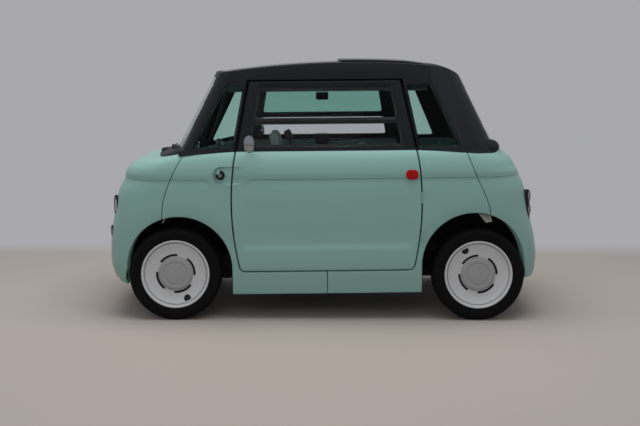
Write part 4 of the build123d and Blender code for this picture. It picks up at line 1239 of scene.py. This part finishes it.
class MICROCAR_OT_door_frames(bpy.types.Operator):
    """Upper frames of both doors with their panes, latches and belt seals."""
    bl_idname = "microcar.door_frames"
    bl_label = "Door frames and windows"

    def execute(self, context):
        edge = context.scene.microcar_sizes.frame_edge * 1000
        for hand, side, _ in HANDS:
            body = "door_" + hand
            softened("door_frame_" + hand, f"door_frame_{hand}_moulding", edge, coat("frame"), body)
            self.panes(hand, body)
            self.seal(hand, side, body)
            self.jamb_seal(hand, side)
        self.latches(-1, "door_right")
        return {"FINISHED"}

    def panes(self, hand, body):
        """The node's two panes as separate pieces, each in its own glass."""
        whole = softened("door_glass_" + hand, f"door_pane_{hand}_lower", 0.8, pane("door"), body,
                         1)
        middle = stand(0, 0, DOOR_BAR_Z).z
        upper = whole.data.copy()
        for mesh, keep_high in ((whole.data, False), (upper, True)):
            with edited(mesh) as edit:
                gone = [v for v in edit.verts if (v.co.z > middle) != keep_high]
                bmesh.ops.delete(edit, geom=gone, context="VERTS")
        glass = pane("green" if hand == "right" else "door")
        finish_piece(f"door_pane_{hand}_upper", upper, glass, body, ("door_glass_" + hand,),
                     sharp=30)

    def seal(self, hand, side, body):
        """Rubber seal along the belt, between the skin and the frame."""
        row = plan_row(BELT_Z)
        path = [(x, side * (side_width(x, row) - 1.5), BELT_Z + 4) for x in evenly(-512, 512, 40)]
        mesh_piece("belt_seal_" + hand, *tube(path, 4.5, 10), coat("seal"), body, "frame_black")

    def jamb_seal(self, hand, side):
        """Rubber seal on the body, behind the gap round the door's upper frame."""
        front, rear, top = DOOR_TOP
        belt = edge_x(BELT_Z)
        corners = [(belt, BELT_Z - 50), (belt, BELT_Z - 4), (front, top), (rear, top), (-belt, BELT_Z - 4),
                   (-belt, BELT_Z - 50)]
        depth = (FRAME_WALL + 12) / CANOPY_LEAN
        path = [(x, side * (canopy_width(z) - depth), z) for x, z in resample(corners, 60, False)]
        mesh_piece("jamb_seal_" + hand, *tube(path, 12.5, 14), coat("seal"), "body", "frame_black")

    def latches(self, side, body):
        """Catches at the top and the foot of the sliding window."""
        for name, z, width, height in (("top", LATCH_TOP_Z, 84, 50), ("foot", LATCH_FOOT_Z, 96, 74)):
            y = canopy_width(z) - 24
            place = facing((LATCH_X, side * y, z), (0, side, 0.26))
            block = slab(rounded_box(width, height, 12), -16, 12, place, bevel=4)
            knob = turned([(0.5, -38), (15, -38), (17, -34), (17, -20), (13, -14), (0.5, -14)], place, 32)
            mesh_piece(f"window_latch_{name}", *joined(block, knob), coat("control"), body, "control_black")


def canopy_width(z):
    """Half width of the glasshouse at a height, at its middle."""
    (low_z, low, *_), (high_z, high, *_) = CANOPY_ROWS
    return low + (high - low) * (z - low_z) / (high_z - low_z)


class MICROCAR_OT_mirrors(bpy.types.Operator):
    """Egg-shaped chrome mirrors on short stems."""
    bl_idname = "microcar.mirrors"
    bl_label = "Mirrors"

    def execute(self, context):
        x, y, z = MIRROR
        wide, deep, tall = (size / 2 for size in MIRROR_SIZE)
        for hand, side, _ in HANDS:
            body = "door_" + hand
            place = facing((x, side * y, z), (1, 0, 0), up=(0, 0, 1))
            # Turns along the section, from the flat back to the domed front
            turns = [math.radians(-50 + 140 * i / 22) for i in range(23)]
            egg = [(max(math.cos(t), 0.002), math.sin(t)) for t in turns]
            rim, flat = egg[0][0], egg[0][1] * wide
            profile = [(r, h * wide) for r, h in egg] + [(0.002, flat + 4), (rim - 0.06, flat + 4)]
            shell = turned(profile, place, 64, wide=deep, high=tall)
            mesh_piece(f"mirror_shell_{hand}", *shell, coat("chrome"), body, "mirror_chrome",
                       ("mirror_" + hand,))
            face = [(0.002, flat + 3.5), (rim - 0.08, flat + 3.5), (rim - 0.08, flat + 2), (0.002, flat + 2)]
            glass = turned(face, place, 64, wide=deep, high=tall)
            mesh_piece(f"mirror_glass_{hand}", *glass, coat("reflector"), body, "mirror_chrome")
            root = canopy_width(z) - 6
            path = [(x, side * root, z - 8), (x, side * (root + y) / 2, z - 10), (x, side * (y - 20), z - 6)]
            stem = tube(path, 8, 20)
            base = facing((x, side * (root + 2), z - 8), (0, side, 0.26))
            foot = slab(rounded_box(46, 34, 12), -6, 5, base, bevel=3)
            mesh_piece(f"mirror_stem_{hand}", *joined(stem, foot), coat("frame"), body, "frame_black")
        return {"FINISHED"}


# ---------------------------------------------------------------- wheels
# Name, end and side of the car, then turn of the cover's slots and place of its valve in degrees
WHEELS = (("front_left", 1, 1, 0.0, -64.6), ("front_right", 1, -1, 0.0, -64.6),
          ("rear_left", -1, 1, 4.5, 119.3), ("rear_right", -1, -1, 4.5, 119.3))
# How far a cover's disc stands out, along its radius
DISH = smooth_curve([(80, 43), (108, 43.5), (135, 46), (160, 52), (168, 57.5), (174, 58)])


def wheel_place(end, side):
    """Matrix from a wheel's own millimetres, as seen from outside, to the car in metres."""
    centre = Vector((end * WHEELBASE / 2 + MIDDLE_X, side * WHEEL_Y, TYRE_R))
    turn = Matrix(((-side, 0, 0), (0, 0, side), (0, 1, 0))).to_4x4()
    return Matrix.Scale(0.001, 4) @ Matrix.Translation(centre) @ turn


class MICROCAR_OT_tyres(bpy.types.Operator):
    """Narrow road tyres with three grooves and cut shoulders."""
    bl_idname = "microcar.tyres"
    bl_label = "Tyres"

    def execute(self, context):
        sizes = context.scene.microcar_sizes
        deep = sizes.tread_depth * 1000
        half = TYRE_W / 2
        wall = [(191, 62), (197, 68), (201, 70.5), (203, 72.5), (207, 73.5), (210, 73), (218, 76),
                (228, half - 0.3), (235, half - 0.3), (236, half - 1.2), (238, half - 1.2), (239, half - 0.5),
                (247, half - 5), (250, half - 8), (252, half - 8.5), (257, half - 14)]
        shoulder = [(TYRE_R - deep, half - TREAD_OUT), (TYRE_R - deep, 52), (TYRE_R - 1.0, 50)]
        crown = []
        for groove in (38, 13):
            crown += [(TYRE_R - 0.6, groove + 4), (TYRE_R - deep, groove + 3), (TYRE_R - deep, groove - 3),
                      (TYRE_R - 0.4, groove - 4)]
        outer = wall + shoulder + crown
        bore = [(191, -58), (196, -30), (196, 30), (191, 58)]
        profile = outer + [(r, -h) for r, h in reversed(outer)] + bore
        for name, end, side, _, _ in WHEELS:
            place = wheel_place(end, side)
            body = "wheel_" + name
            mesh_piece("tyre_carcass_" + name, *turned(profile, place, 160), coat("tyre"), body,
                       "tyre_rubber", ("tyre_" + name,), sharp=32)
            self.tread(name, place, body, sizes.tread_blocks, half - TREAD_OUT - TREAD_IN, deep + 2)
        return {"FINISHED"}

    def tread(self, name, place, body, count, wide, tall):
        """Slanted blocks round both shoulders of a tyre."""
        outline = [(-4.2, -wide / 2), (4.2, -wide / 2), (5.4, wide / 2), (-3.0, wide / 2)]
        spin = Matrix(((1, 0, 0), (0, 0, 1), (0, 1, 0))).to_4x4()
        for where, way in (("in", -1), ("out", 1)):
            lift = (Matrix.Translation((0, way * (TREAD_IN + wide / 2), TYRE_R - 1.2 - tall))
                    @ Matrix.Scale(way, 4, (0, 1, 0)))
            block = slab(outline, 0, tall, lift, bevel=0.8, segments=1)
            repeated(f"tread_{name}_{where}", block, count, (0, 0, 0), (0, math.tau / count, 0), place @ spin,
                     coat("tyre"), body)


class MICROCAR_OT_covers(bpy.types.Operator):
    """Steel wheels behind silver covers with four curved slots, a valve notch and a plain cap."""
    bl_idname = "microcar.covers"
    bl_label = "Wheels and covers"

    def execute(self, context):
        for name, end, side, turn, valve in WHEELS:
            place = wheel_place(end, side)
            body = "wheel_" + name
            self.steel(name, place, body)
            self.disc(name, place, body, turn, valve)
            lip = [(170, 50), (172, 52), (175, 51.5), (178, 54.5), (181, 62.5), (184, 68.5), (188, 71),
                   (191.5, 71), (194, 69), (195, 65), (193.5, 60), (188, 56), (180, 49.5), (172, 47)]
            mesh_piece("cover_lip_" + name, *turned(lip, place, 128), coat("wheel_paint"), body, "wheel_grey",
                       sharp=60)
            cap = [(0.3, 57.5), (30, 57.2), (56, 56.3), (61, 55.6), (62.5, 54.2), (64, 54.2), (65.5, 55.8),
                   (80, 54.4), (92, 51.4), (96.5, 48.5), (98, 45), (98, 40), (0.3, 40)]
            mesh_piece("cap_" + name, *turned(cap, place, 128), coat("cap"), body, "wheel_grey", sharp=60)
        return {"FINISHED"}

    def steel(self, name, place, body):
        """Rim barrel and its web."""
        barrel = [(150, 32), (168, 38), (182, 40), (187, 48), (189, 60), (191, 61), (190, 40), (186, 20),
                  (176, 0), (176, -30), (187, -50), (190, -62), (195, -68), (193, -70), (187, -64),
                  (170, -30), (170, 0), (172, 24), (150, 26)]
        web = [(15.6, 12), (40, 12), (41, 30), (62, 34), (98, 30), (112, 26), (152, 26), (152, 32), (112, 31),
               (100, 35), (62, 39), (36, 38.5), (15.6, 38.5)]
        shape = joined(turned(barrel, place, 96), turned(web, place, 64))
        mesh_piece("steel_wheel_" + name, *shape, coat("wheel_steel"), body, "wheel_grey", ("rim_" + name,))

    def disc(self, name, place, body, turn, valve):
        """Dished disc with four slots, a notch for the valve and a hole under the cap."""
        low, high = SLOT_R
        loops = [arc(0, 0, 174, 0, 357, 119), list(reversed(arc(0, 0, 84, 0, 354, 59)))]
        round_r = (high - low) / 2
        for count in range(4):
            middle = SLOT_TURN + turn + 90 * count
            half = SLOT_SPAN / 2 - 2.5
            outer = arc(0, 0, high, middle - half, middle + half, 18)
            inner = arc(0, 0, low, middle + half, middle - half, 18)
            ends = []
            for angle, start in ((middle + half, 1), (middle - half, -1)):
                at = math.radians(angle)
                centre = ((low + round_r) * math.cos(at), (low + round_r) * math.sin(at))
                first = angle if start > 0 else angle + 180
                ends.append(arc(*centre, round_r, first + 25, first + 155, 5))
            loops.append(list(reversed(outer + ends[0] + inner + ends[1])))
        at = math.radians(valve)
        cx, cy = VALVE_R * math.cos(at), VALVE_R * math.sin(at)
        notch = arc(cx, cy, 20, valve + 180 - 125, valve + 180 + 125, 20)
        loops.append(list(reversed(notch)))
        columns = evenly(-176, 176, 46)
        spots, faces = plate(loops, columns, columns, lambda a, b: Vector((a, b, DISH(math.hypot(a, b)))),
                             thickness=2.5, edge=1.2, spacing=6.0)
        points = [place @ (here - normal * depth * (1 if normal.z > 0 else -1))
                  for here, normal, depth in spots]
        mesh_piece("cover_disc_" + name, points, faces, coat("wheel_paint"), body, "wheel_grey")


# ---------------------------------------------------------------- lamps and fittings
def lamp_place(lamp, hand, way):
    """Matrix of a lamp: its middle on the skin, z out of it."""
    y, z, _, turn = lamp
    at = end_point(hand * distance_of_width(y, z, way), z, way)
    angle = math.radians(turn)
    out = Vector((way * math.cos(angle), hand * math.sin(angle), 0))
    return facing(at - out * (LAMP_SINK if way > 0 else 0), out)


class MICROCAR_OT_lamps(bpy.types.Operator):
    """Round headlamps and small lamps at the nose, pill-shaped lamps at the tail."""
    bl_idname = "microcar.lamps"
    bl_label = "Lamps"

    def execute(self, context):
        for hand, side, _ in HANDS:
            for kind, lamp in zip(("head", "small"), FRONT_LAMPS):
                self.round_lamp(f"{kind}lamp_{hand}", lamp[2], lamp_place(lamp, side, 1), kind == "head")
            self.tail_lamp(hand, lamp_place(TAIL_LAMP, side, -1))
        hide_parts("front_lamps")
        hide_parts("tail_lamps")
        return {"FINISHED"}

    def round_lamp(self, name, radius, place, large):
        """Black bezel, mirrored bowl, projector and clear cover; a large lamp has a white ring too."""
        bezel = [(radius - 9, -40), (radius - 2, -40), (radius - 2, -2), (radius, 0), (radius, 5),
                 (radius - 2, 7.5), (radius - 6, 8), (radius - 9, 6), (radius - 11, 1)]
        mesh_piece(name + "_bezel", *turned(bezel, place, 72), coat("frame"), "body", "frame_black")
        bowl_r = radius - 10
        turns = [math.radians(9 * i) for i in range(1, 11)]
        bowl = [(bowl_r * math.sin(turn), -6 - 26 * math.cos(turn)) for turn in turns]
        bowl += [(r + 1.5, h - 2) for r, h in reversed(bowl)]
        mesh_piece(name + "_bowl", *turned(bowl, place, 72), coat("reflector"), "body", "lamp_lens")
        if large:
            ring = [(36 + 3 * math.cos(turn), -8 + 3 * math.sin(turn))
                    for turn in (math.tau * i / 10 for i in range(10))]
            mesh_piece(name + "_ring", *turned(ring, place, 72), coat("nylon"), "body", "lamp_lens")
            eye = [(0.3, -6), (8, -7), (14, -10), (17, -15), (17, -28), (0.3, -28)]
        else:
            eye = [(0.3, -8), (6, -9), (9, -12), (9, -26), (0.3, -26)]
        mesh_piece(name + "_projector", *turned(eye, place, 48), lens("projector_lens", "#dfe6ea"), "body",
                   "lamp_lens")
        cover = [(bowl_r, -3), (bowl_r + 0.5, 1), (bowl_r * 0.85, 4), (bowl_r * 0.5, 6.6), (0.3, 7.6),
                 (0.3, 5.2), (bowl_r * 0.5, 4.2), (bowl_r * 0.85, 1.6), (bowl_r - 2, -3)]
        mesh_piece(name + "_cover", *turned(cover, place, 72), lens("clear_lamp_cover", "#eef3f4", 0.02),
                   "body", "lamp_lens")

    def tail_lamp(self, hand, place):
        """Black housing with a white and a red lens in bright rims."""
        half, length = TAIL_LAMP[2], TAIL_LAMP_H
        housing = slab(rounded_box(2 * half, length, half - 1, 10), -40, 12, place, bevel=5, segments=3)
        mesh_piece(f"tail_{hand}_housing", *housing, coat("frame"), "body", "frame_black")
        for name, lift, code in (("white", 56, "#e9edee"), ("red", -26, "#a01018")):
            at = place @ Matrix.Translation((0, lift, 0))
            rim = [(26, 10), (30, 10), (31, 13), (30, 17), (28, 18.5), (26.5, 17), (26, 13)]
            mesh_piece(f"tail_{hand}_{name}_rim", *turned(rim, at, 56), coat("chrome"), "body",
                       "mirror_chrome")
            dome = [(0.3, 9), (26, 9), (26.3, 15), (22, 19), (12, 21.3), (0.3, 22)]
            mesh_piece(f"tail_{hand}_{name}_lens", *turned(dome, at, 56), lens(name + "_tail_lens", code),
                       "body", "tail_lens")


class MICROCAR_OT_fittings(bpy.types.Operator):
    """Locks, wiper, arch clips, blank plates, nose slats and towing sockets."""
    bl_idname = "microcar.fittings"
    bl_label = "Fittings"

    def execute(self, context):
        for hand, side, lock_way in HANDS:
            self.lock(hand, side, lock_way)
            self.clips(hand, side)
        self.plates()
        self.slats(context)
        self.wiper()
        recoat("tow_sockets", "zinc")
        return {"FINISHED"}

    def lock(self, hand, side, lock_way):
        """Push-button lock in its recess on the wing."""
        x, z = LOCK[0] * lock_way, LOCK[1]
        place = facing(side_point(x, z, side, lock_way) + Vector((0, side * 8.0, 0)), (0, side, 0))
        ring = [(12, -17), (25.5, -17), (26, 1), (24.5, 4), (21, 5.5), (17, 5), (13, 2.5), (12, 0)]
        mesh_piece("lock_ring_" + hand, *turned(ring, place, 56), coat("seal"), "body", "frame_black")
        barrel = [(0.3, 1.2), (1.2, 1.2), (1.3, 3.6), (9.5, 3.4), (10.5, 2.6), (11, 0), (11, -8), (0.3, -8)]
        mesh_piece("lock_barrel_" + hand, *turned(barrel, place, 40), coat("zinc"), "body", "socket_steel")

    def clips(self, hand, side):
        """White nylon clips that hang from the wheel liners."""
        for end, corners in CLIPS:
            outline = [(-side * x, z) for x, z in corners]
            place = facing((0, side * CLIP_Y, 0), (0, side, 0))
            clip = slab(outline, -2, 2, place, bevel=1)
            mesh_piece(f"arch_clip_{end}_{hand}", *clip, coat("nylon"), "body", "wheel_grey")

    def plates(self):
        """Blank number plates on plain backings, front and rear."""
        for end, way, z, width, height in (("front", 1, 330, 340, 90), ("rear", -1, 560, 250, 190)):
            at = end_point(0, z, way)
            place = facing(at, (way, 0, 0.02))
            back = slab(rounded_box(width + 14, height + 14, 12), -6, 3, place, bevel=2)
            mesh_piece(f"plate_back_{end}", *back, coat("frame"), "body", "frame_black")
            sheet = slab(rounded_box(width, height, 8), 2, 4.5, place, bevel=0.8)
            mesh_piece(f"plate_{end}", *sheet, coat("plate"), "body", "frame_black")

    def slats(self, context):
        """Low air intake in the nose: a dark tray crossed by even slats."""
        count = context.scene.microcar_sizes.nose_slats
        at = end_point(0, INTAKE_Z, 1)
        place = facing(at, (1, 0, 0))
        tray = slab(rounded_box(INTAKE_W, INTAKE_H, 18), -14, 1.5, place, bevel=1.5)
        mesh_piece("intake_tray", *tray, coat("liner"), "body", "frame_black")
        outline = rounded_box(INTAKE_W - 30, 3.5, 1.4, 3)
        slat = slab(outline, 0, 7, Matrix.Identity(4), bevel=1, segments=1)
        pitch = (INTAKE_H - 12) / (count - 1)
        start = Matrix.Translation((0, -(count - 1) * pitch / 2, -3))
        repeated("intake_slats", slat, count, (0, pitch, 0), (0, 0, 0), place @ start, coat("frame"), "body")

    def wiper(self):
        """Black cowl across the scuttle, with the wiper's motor cover, arm and blade."""
        front = FOOT_ROW[1]
        section = ((-3, 915), (-3, 972), (12, 972), (34, 963), (62, 953), (88, 944), (100, 936), (100, 915))
        rings = []
        for y in evenly(-COWL_HALF, COWL_HALF, 40):
            # The section shrinks over the last 60 mm at either end
            fade = 0.35 + 0.65 * min(1.0, (COWL_HALF - abs(y)) / 60) ** 0.5
            foot = front - y * y / (2 * SCREEN_BOW_R)
            rings.append([stand(foot + 2 + d * (0.8 + 0.2 * fade), y, 930 + (z - 930) * fade)
                          for d, z in section])
        mesh_piece("scuttle_cowl", *bar(rings), coat("frame"), "body", "frame_black", sharp=50)
        outline = [(-86, -46), (86, -46), (86, 20), (60, 44), (-60, 44), (-86, 20)]
        cowl = slab(outline, -8, 22, facing((968, 0, 934), (0, 0, 1), up=(1, 0, 0)), bevel=8, segments=4)
        hub = facing((944, 0, 946), (0.25, 0, 1), up=(1, 0, 0))
        boss = turned([(0.3, 0), (19, 0), (19, 12), (16, 17), (0.3, 19)], hub, 32)
        mesh_piece("wiper_cowl", *joined(cowl, boss), coat("frame"), "body", "frame_black", ("wiper",))
        arm = tube([(945, 0, 962), (942, 60, 966), (929, 160, 976), (908, 280, 990)], 5.5, 12)
        blade = tube([(913, 60, 984), (908, 180, 984), (897, 300, 986), (879, 420, 988)], 4.0, 8)
        mesh_piece("wiper_arm", *joined(arm, blade), coat("seal"), "body", "control_black")


# ---------------------------------------------------------------- cabin
def pad_form(outline, half, crown, place, rows=26):
    """A crowned pad: a round-cornered outline that swells to a crown on one face."""
    points = []
    for i in range(rows + 1):
        turn = math.pi * i / rows
        shrink = math.sin(turn) ** 0.35 if 0 < i < rows else 0.02
        height = -math.cos(turn)
        height = math.copysign(abs(height) ** 0.8, height)
        for x, y in outline:
            lift = crown * (height + 1) / 2 * (1 - (x / half[0]) ** 4 * 0.4) * (1 - (y / half[1]) ** 4 * 0.4)
            points.append(place @ Vector((x * shrink, y * shrink, half[2] * height + lift * (1 - shrink))))
    return points, grid_faces(rows + 1, len(outline), False, True)


class MICROCAR_OT_cabin(bpy.types.Operator):
    """Dashboard, steering wheel and the two seats with their pads."""
    bl_idname = "microcar.cabin"
    bl_label = "Cabin"

    def execute(self, context):
        softened("dashboard", "dashboard_moulding", 8.0, coat("cabin"), "body", 4)
        softened("steering_column", "column_shroud", 1.5, coat("control"), "body")
        softened("steering_wheel", "steering_wheel_moulding", 2.0, coat("control"), "steering_wheel")
        self.instruments()
        for name, side, cushion, back in SEATS:
            self.seat(name, side, cushion, back)
        self.belt_arm()
        return {"FINISHED"}

    def instruments(self):
        """Pale hood over a blank dial."""
        path = [(608, 350 + 118 * math.sin(turn), 968 + 36 * math.cos(turn))
                for turn in (math.radians(-80 + 16 * i) for i in range(11))]
        mesh_piece("instrument_hood", *tube(path, 10, 14), coat("pale_trim"), "body", "cabin_grey")
        place = facing((606, 350, 962), (-1, 0, 0.35))
        dial = turned([(0.3, -4), (58, -4), (60, 0), (57, 3), (54, 1.5), (0.3, 1.5)], place, 48, high=0.62)
        mesh_piece("instrument_dial", *dial, coat("control"), "body", "control_black")

    def seat(self, name, side, cushion, back):
        """A seat's shell with its two pads."""
        node = "seat_" + name
        softened(node, node + "_shell", 9.0, coat("shell"), "body", 4)
        for part, stretch, out in (("cushion", cushion, (0, 0, 1)), ("back", back, (1, 0, 0.2))):
            start, end, thick, width = stretch
            self.pad(f"{node}_{part}_pad", start, end, side * SEAT_Y, width, thick, out)

    def pad(self, name, start, end, y, width, thick, out):
        """One padded piece over a stretch of the seat's side view."""
        start, end = Vector((start[0], y, start[1])), Vector((end[0], y, end[1]))
        along = end - start
        middle = (start + end) / 2
        normal = Vector((-along.z, 0, along.x)).normalized()
        if normal.dot(Vector(out)) < 0:
            normal = -normal
        place = facing(middle + normal * (thick * 0.1), normal, up=along)
        half = (width / 2, along.length / 2, thick / 2)
        outline = rounded_box(width, along.length, PAD_CORNER_R, 8)
        form = pad_form(resample(outline, 16.0), half, thick * 0.35, place)
        piece = mesh_piece(name, *form, seat_cloth(), "body", "seat_grey", sharp=180)
        edge = resample(rounded_box(width - 2, along.length - 2, PAD_CORNER_R - 1, 8), 12)
        rim = [place @ Vector((a, b, 0)) for a, b in edge]
        cord = tube([*rim, rim[0]], PIPING_R, 8, Matrix.Identity(4))
        mesh_piece(name + "_piping", *cord, coat("control"), "body", "control_black")

    def belt_arm(self):
        """Stalk of the passenger's belt beside the seat."""
        path = [(150, -120, 520), (158, -118, 700), (176, -116, 850), (205, -114, 960), (222, -113, 1010)]
        stalk = tube(path, 11, 14)
        place = facing((224, -113, 1022), (0, 1, 0), up=(0.5, 0, 1))
        head = slab(rounded_box(44, 70, 12), -12, 12, place, bevel=5)
        mesh_piece("belt_stalk", *joined(stalk, head), coat("control"), "body", "control_black")


class MICROCAR_OT_underbody(bpy.types.Operator):
    """Finishes of the floor, liners, axles, motor and battery."""
    bl_idname = "microcar.underbody"
    bl_label = "Underbody"

    def execute(self, context):
        finishes = {
            "floor_pan": "floor", "arch_liners": "liner", "bulkheads": "floor", "front_suspension": "chassis",
            "rear_axle": "chassis", "knuckle_left": "chassis", "knuckle_right": "chassis",
            "motor_block": "zinc", "battery_block": "battery",
        }
        for node, key in finishes.items():
            recoat(node, key)
        return {"FINISHED"}


# ---------------------------------------------------------------- stage
def sees(tree):
    """1 for rays that the camera, gloss or glass sends, 0 for the light that falls."""
    path = add(tree, "ShaderNodeLightPath").outputs
    first = add(tree, "ShaderNodeMath", {"operation": "MAXIMUM"},
                {0: path["Is Camera Ray"], 1: path["Is Glossy Ray"]})
    return add(tree, "ShaderNodeMath", {"operation": "MAXIMUM"},
               {0: first.outputs[0], 1: path["Is Transmission Ray"]}).outputs[0]


class MICROCAR_OT_stage(bpy.types.Operator):
    """Floor, backdrop, lights and camera."""
    bl_idname = "microcar.stage"
    bl_label = "Stage"

    def execute(self, context):
        stage = context.scene.microcar_stage
        self.floor(stage)
        self.world(context, stage)
        self.lights(stage)
        self.camera(context)
        context.scene.view_settings.view_transform = "Standard"
        return {"FINISHED"}

    def floor(self, stage):
        # Smooth pale concrete that fades into the backdrop well behind the car.
        material, tree, shader = finish("pale_floor", {"Roughness": 0.85})
        place = object_place(tree)
        cloud = add(tree, "ShaderNodeTexNoise", {"Scale": 1.5, "Detail": 5.0}, {"Vector": place})
        base = tuple(stage.floor)
        light = tuple(c * 1.04 for c in base[:3]) + (1.0,)
        tone = add(tree, "ShaderNodeMixRGB", {"Color1": base, "Color2": light}, {"Fac": cloud.outputs["Fac"]})
        join(tree, shader, {"Base Color": tone.outputs["Color"]})
        split = add(tree, "ShaderNodeSeparateXYZ", links={"Vector": place})
        fade = add(tree, "ShaderNodeMapRange", {
            "From Min": FLOOR_FADE[0], "From Max": FLOOR_FADE[1], "interpolation_type": "SMOOTHSTEP"},
            {"Value": split.outputs["Y"]})
        glow = add(tree, "ShaderNodeEmission", {"Color": tuple(stage.backdrop), "Strength": 1.0})
        mix = add(tree, "ShaderNodeMixShader", links={0: fade.outputs["Result"], 1: shader.outputs["BSDF"],
                                                      2: glow.outputs["Emission"]})
        join(tree, tree.nodes["Material Output"], {"Surface": mix.outputs["Shader"]})
        mesh = bpy.data.meshes.new("floor")
        corners = [(x * FLOOR_HALF, y * FLOOR_HALF, 0) for x, y in ((-1, -1), (1, -1), (1, 1), (-1, 1))]
        mesh.from_pydata(corners, [], [(0, 1, 2, 3)])
        mesh.materials.append(material)
        floor = bpy.data.objects.new("floor", mesh)
        bpy.context.scene.collection.objects.link(floor)

    def world(self, context, stage):
        """Even daylight, with a plain backdrop where it is looked at."""
        world = bpy.data.worlds.new("soft_daylight")
        context.scene.world = world
        world.use_nodes = True
        tree = world.node_tree
        light = tree.nodes["Background"]
        light.inputs["Color"].default_value = linear("#f4f8ff")
        light.inputs["Strength"].default_value = stage.sky
        seen = add(tree, "ShaderNodeBackground", {"Color": tuple(stage.backdrop), "Strength": 1.0})
        mix = add(tree, "ShaderNodeMixShader", links={0: sees(tree), 1: light.outputs["Background"],
                                                      2: seen.outputs["Background"]})
        join(tree, tree.nodes["World Output"], {"Surface": mix.outputs["Shader"]})

    def lights(self, stage):
        """A broad soft light overhead and a weaker one from the camera's side."""
        lamps = (("overhead", (0.2, 0.6, 5.0), (0.0, 0.0, 0.0), 5.0, 3.5, stage.overhead),
                 ("side", (1.5, 6.5, 3.2), (0.0, 0.0, 0.7), 4.0, 2.5, stage.side))
        for name, at, target, wide, high, power in lamps:
            data = bpy.data.lights.new(name, "AREA")
            data.shape = "RECTANGLE"
            data.size, data.size_y, data.energy = wide, high, power
            lamp = bpy.data.objects.new(name, data)
            lamp.visible_glossy = False
            lamp.location = at
            lamp.rotation_euler = (Vector(target) - Vector(at)).to_track_quat("-Z", "Y").to_euler()
            bpy.context.scene.collection.objects.link(lamp)

    def camera(self, context):
        data = bpy.data.cameras.new("camera")
        data.lens = CAMERA_LENS
        data.sensor_width = CAMERA_SENSOR
        data.shift_y = CAMERA_SHIFT
        camera = bpy.data.objects.new("camera", data)
        camera.location = CAMERA_AT
        tilt, roll, yaw = CAMERA_TURN
        camera.rotation_euler = (math.radians(90 - tilt), math.radians(roll), math.radians(180 + yaw))
        context.scene.collection.objects.link(camera)
        context.scene.camera = camera


# ---------------------------------------------------------------- add-on
class MicrocarColours(bpy.types.PropertyGroup):
    body: bpy.props.FloatVectorProperty(
        name="Body", description="Colour of the moulded panels", subtype="COLOR", size=4, min=0, max=1,
        default=linear("#7a9e97"))


class MicrocarSizes(bpy.types.PropertyGroup):
    panel_grid: bpy.props.FloatProperty(
        name="Panel grid", description="Spacing of the panels' mesh, in millimetres", default=24.0, min=8,
        max=60)
    frame_edge: bpy.props.FloatProperty(
        name="Frame edge", description="Radius of the black frame's edges", default=0.0025, unit="LENGTH")
    tread_depth: bpy.props.FloatProperty(
        name="Tread depth", description="Depth of the tyres' grooves", default=0.007, unit="LENGTH")
    tread_blocks: bpy.props.IntProperty(
        name="Tread blocks", description="Blocks round each shoulder of a tyre", default=84, min=12)
    nose_slats: bpy.props.IntProperty(
        name="Nose slats", description="Slats in the nose intake", default=5, min=2)


class MicrocarStage(bpy.types.PropertyGroup):
    floor: bpy.props.FloatVectorProperty(
        name="Floor", description="Colour of the floor", subtype="COLOR", size=4, min=0, max=1,
        default=linear("#9c938b"))
    backdrop: bpy.props.FloatVectorProperty(
        name="Backdrop", description="Colour seen behind the car", subtype="COLOR", size=4, min=0, max=1,
        default=linear("#a8a8ad"))
    sky: bpy.props.FloatProperty(name="Sky", description="Strength of the even daylight", default=0.56, min=0)
    overhead: bpy.props.FloatProperty(
        name="Overhead", description="Power of the light above", default=235.0, min=0)
    side: bpy.props.FloatProperty(
        name="Side", description="Power of the light from the side", default=64.0, min=0)


OPERATORS = (
    MICROCAR_OT_wings, MICROCAR_OT_ends, MICROCAR_OT_doors, MICROCAR_OT_glasshouse, MICROCAR_OT_door_frames,
    MICROCAR_OT_mirrors, MICROCAR_OT_tyres, MICROCAR_OT_covers, MICROCAR_OT_lamps, MICROCAR_OT_fittings,
    MICROCAR_OT_cabin, MICROCAR_OT_underbody, MICROCAR_OT_stage)


class MICROCAR_PT_panel(bpy.types.Panel):
    """Sizes, colours and pieces of the microcar"""
    bl_idname = "MICROCAR_PT_panel"
    bl_label = "Two-seat microcar"
    bl_space_type = "VIEW_3D"
    bl_region_type = "UI"
    bl_category = "Microcar"

    def draw(self, context):
        layout = self.layout
        for key, _ in GROUPS:
            group = getattr(context.scene, key)
            box = layout.box()
            for name in group.__annotations__:
                box.prop(group, name)
        column = layout.column(align=True)
        for operator in OPERATORS:
            column.operator(operator.bl_idname)


GROUPS = (("microcar_colours", MicrocarColours), ("microcar_sizes", MicrocarSizes),
          ("microcar_stage", MicrocarStage))


def register():
    for name, group in GROUPS:
        bpy.utils.register_class(group)
        setattr(bpy.types.Scene, name, bpy.props.PointerProperty(type=group))
    for kind in (*OPERATORS, MICROCAR_PT_panel):
        bpy.utils.register_class(kind)


def unregister():
    for kind in reversed((*OPERATORS, MICROCAR_PT_panel)):
        bpy.utils.unregister_class(kind)
    for name, group in reversed(GROUPS):
        delattr(bpy.types.Scene, name)
        bpy.utils.unregister_class(group)


def main():
    register()
    for operator in OPERATORS:
        getattr(bpy.ops.microcar, operator.bl_idname.split(".")[1])()


if __name__ == "__main__":
    main()
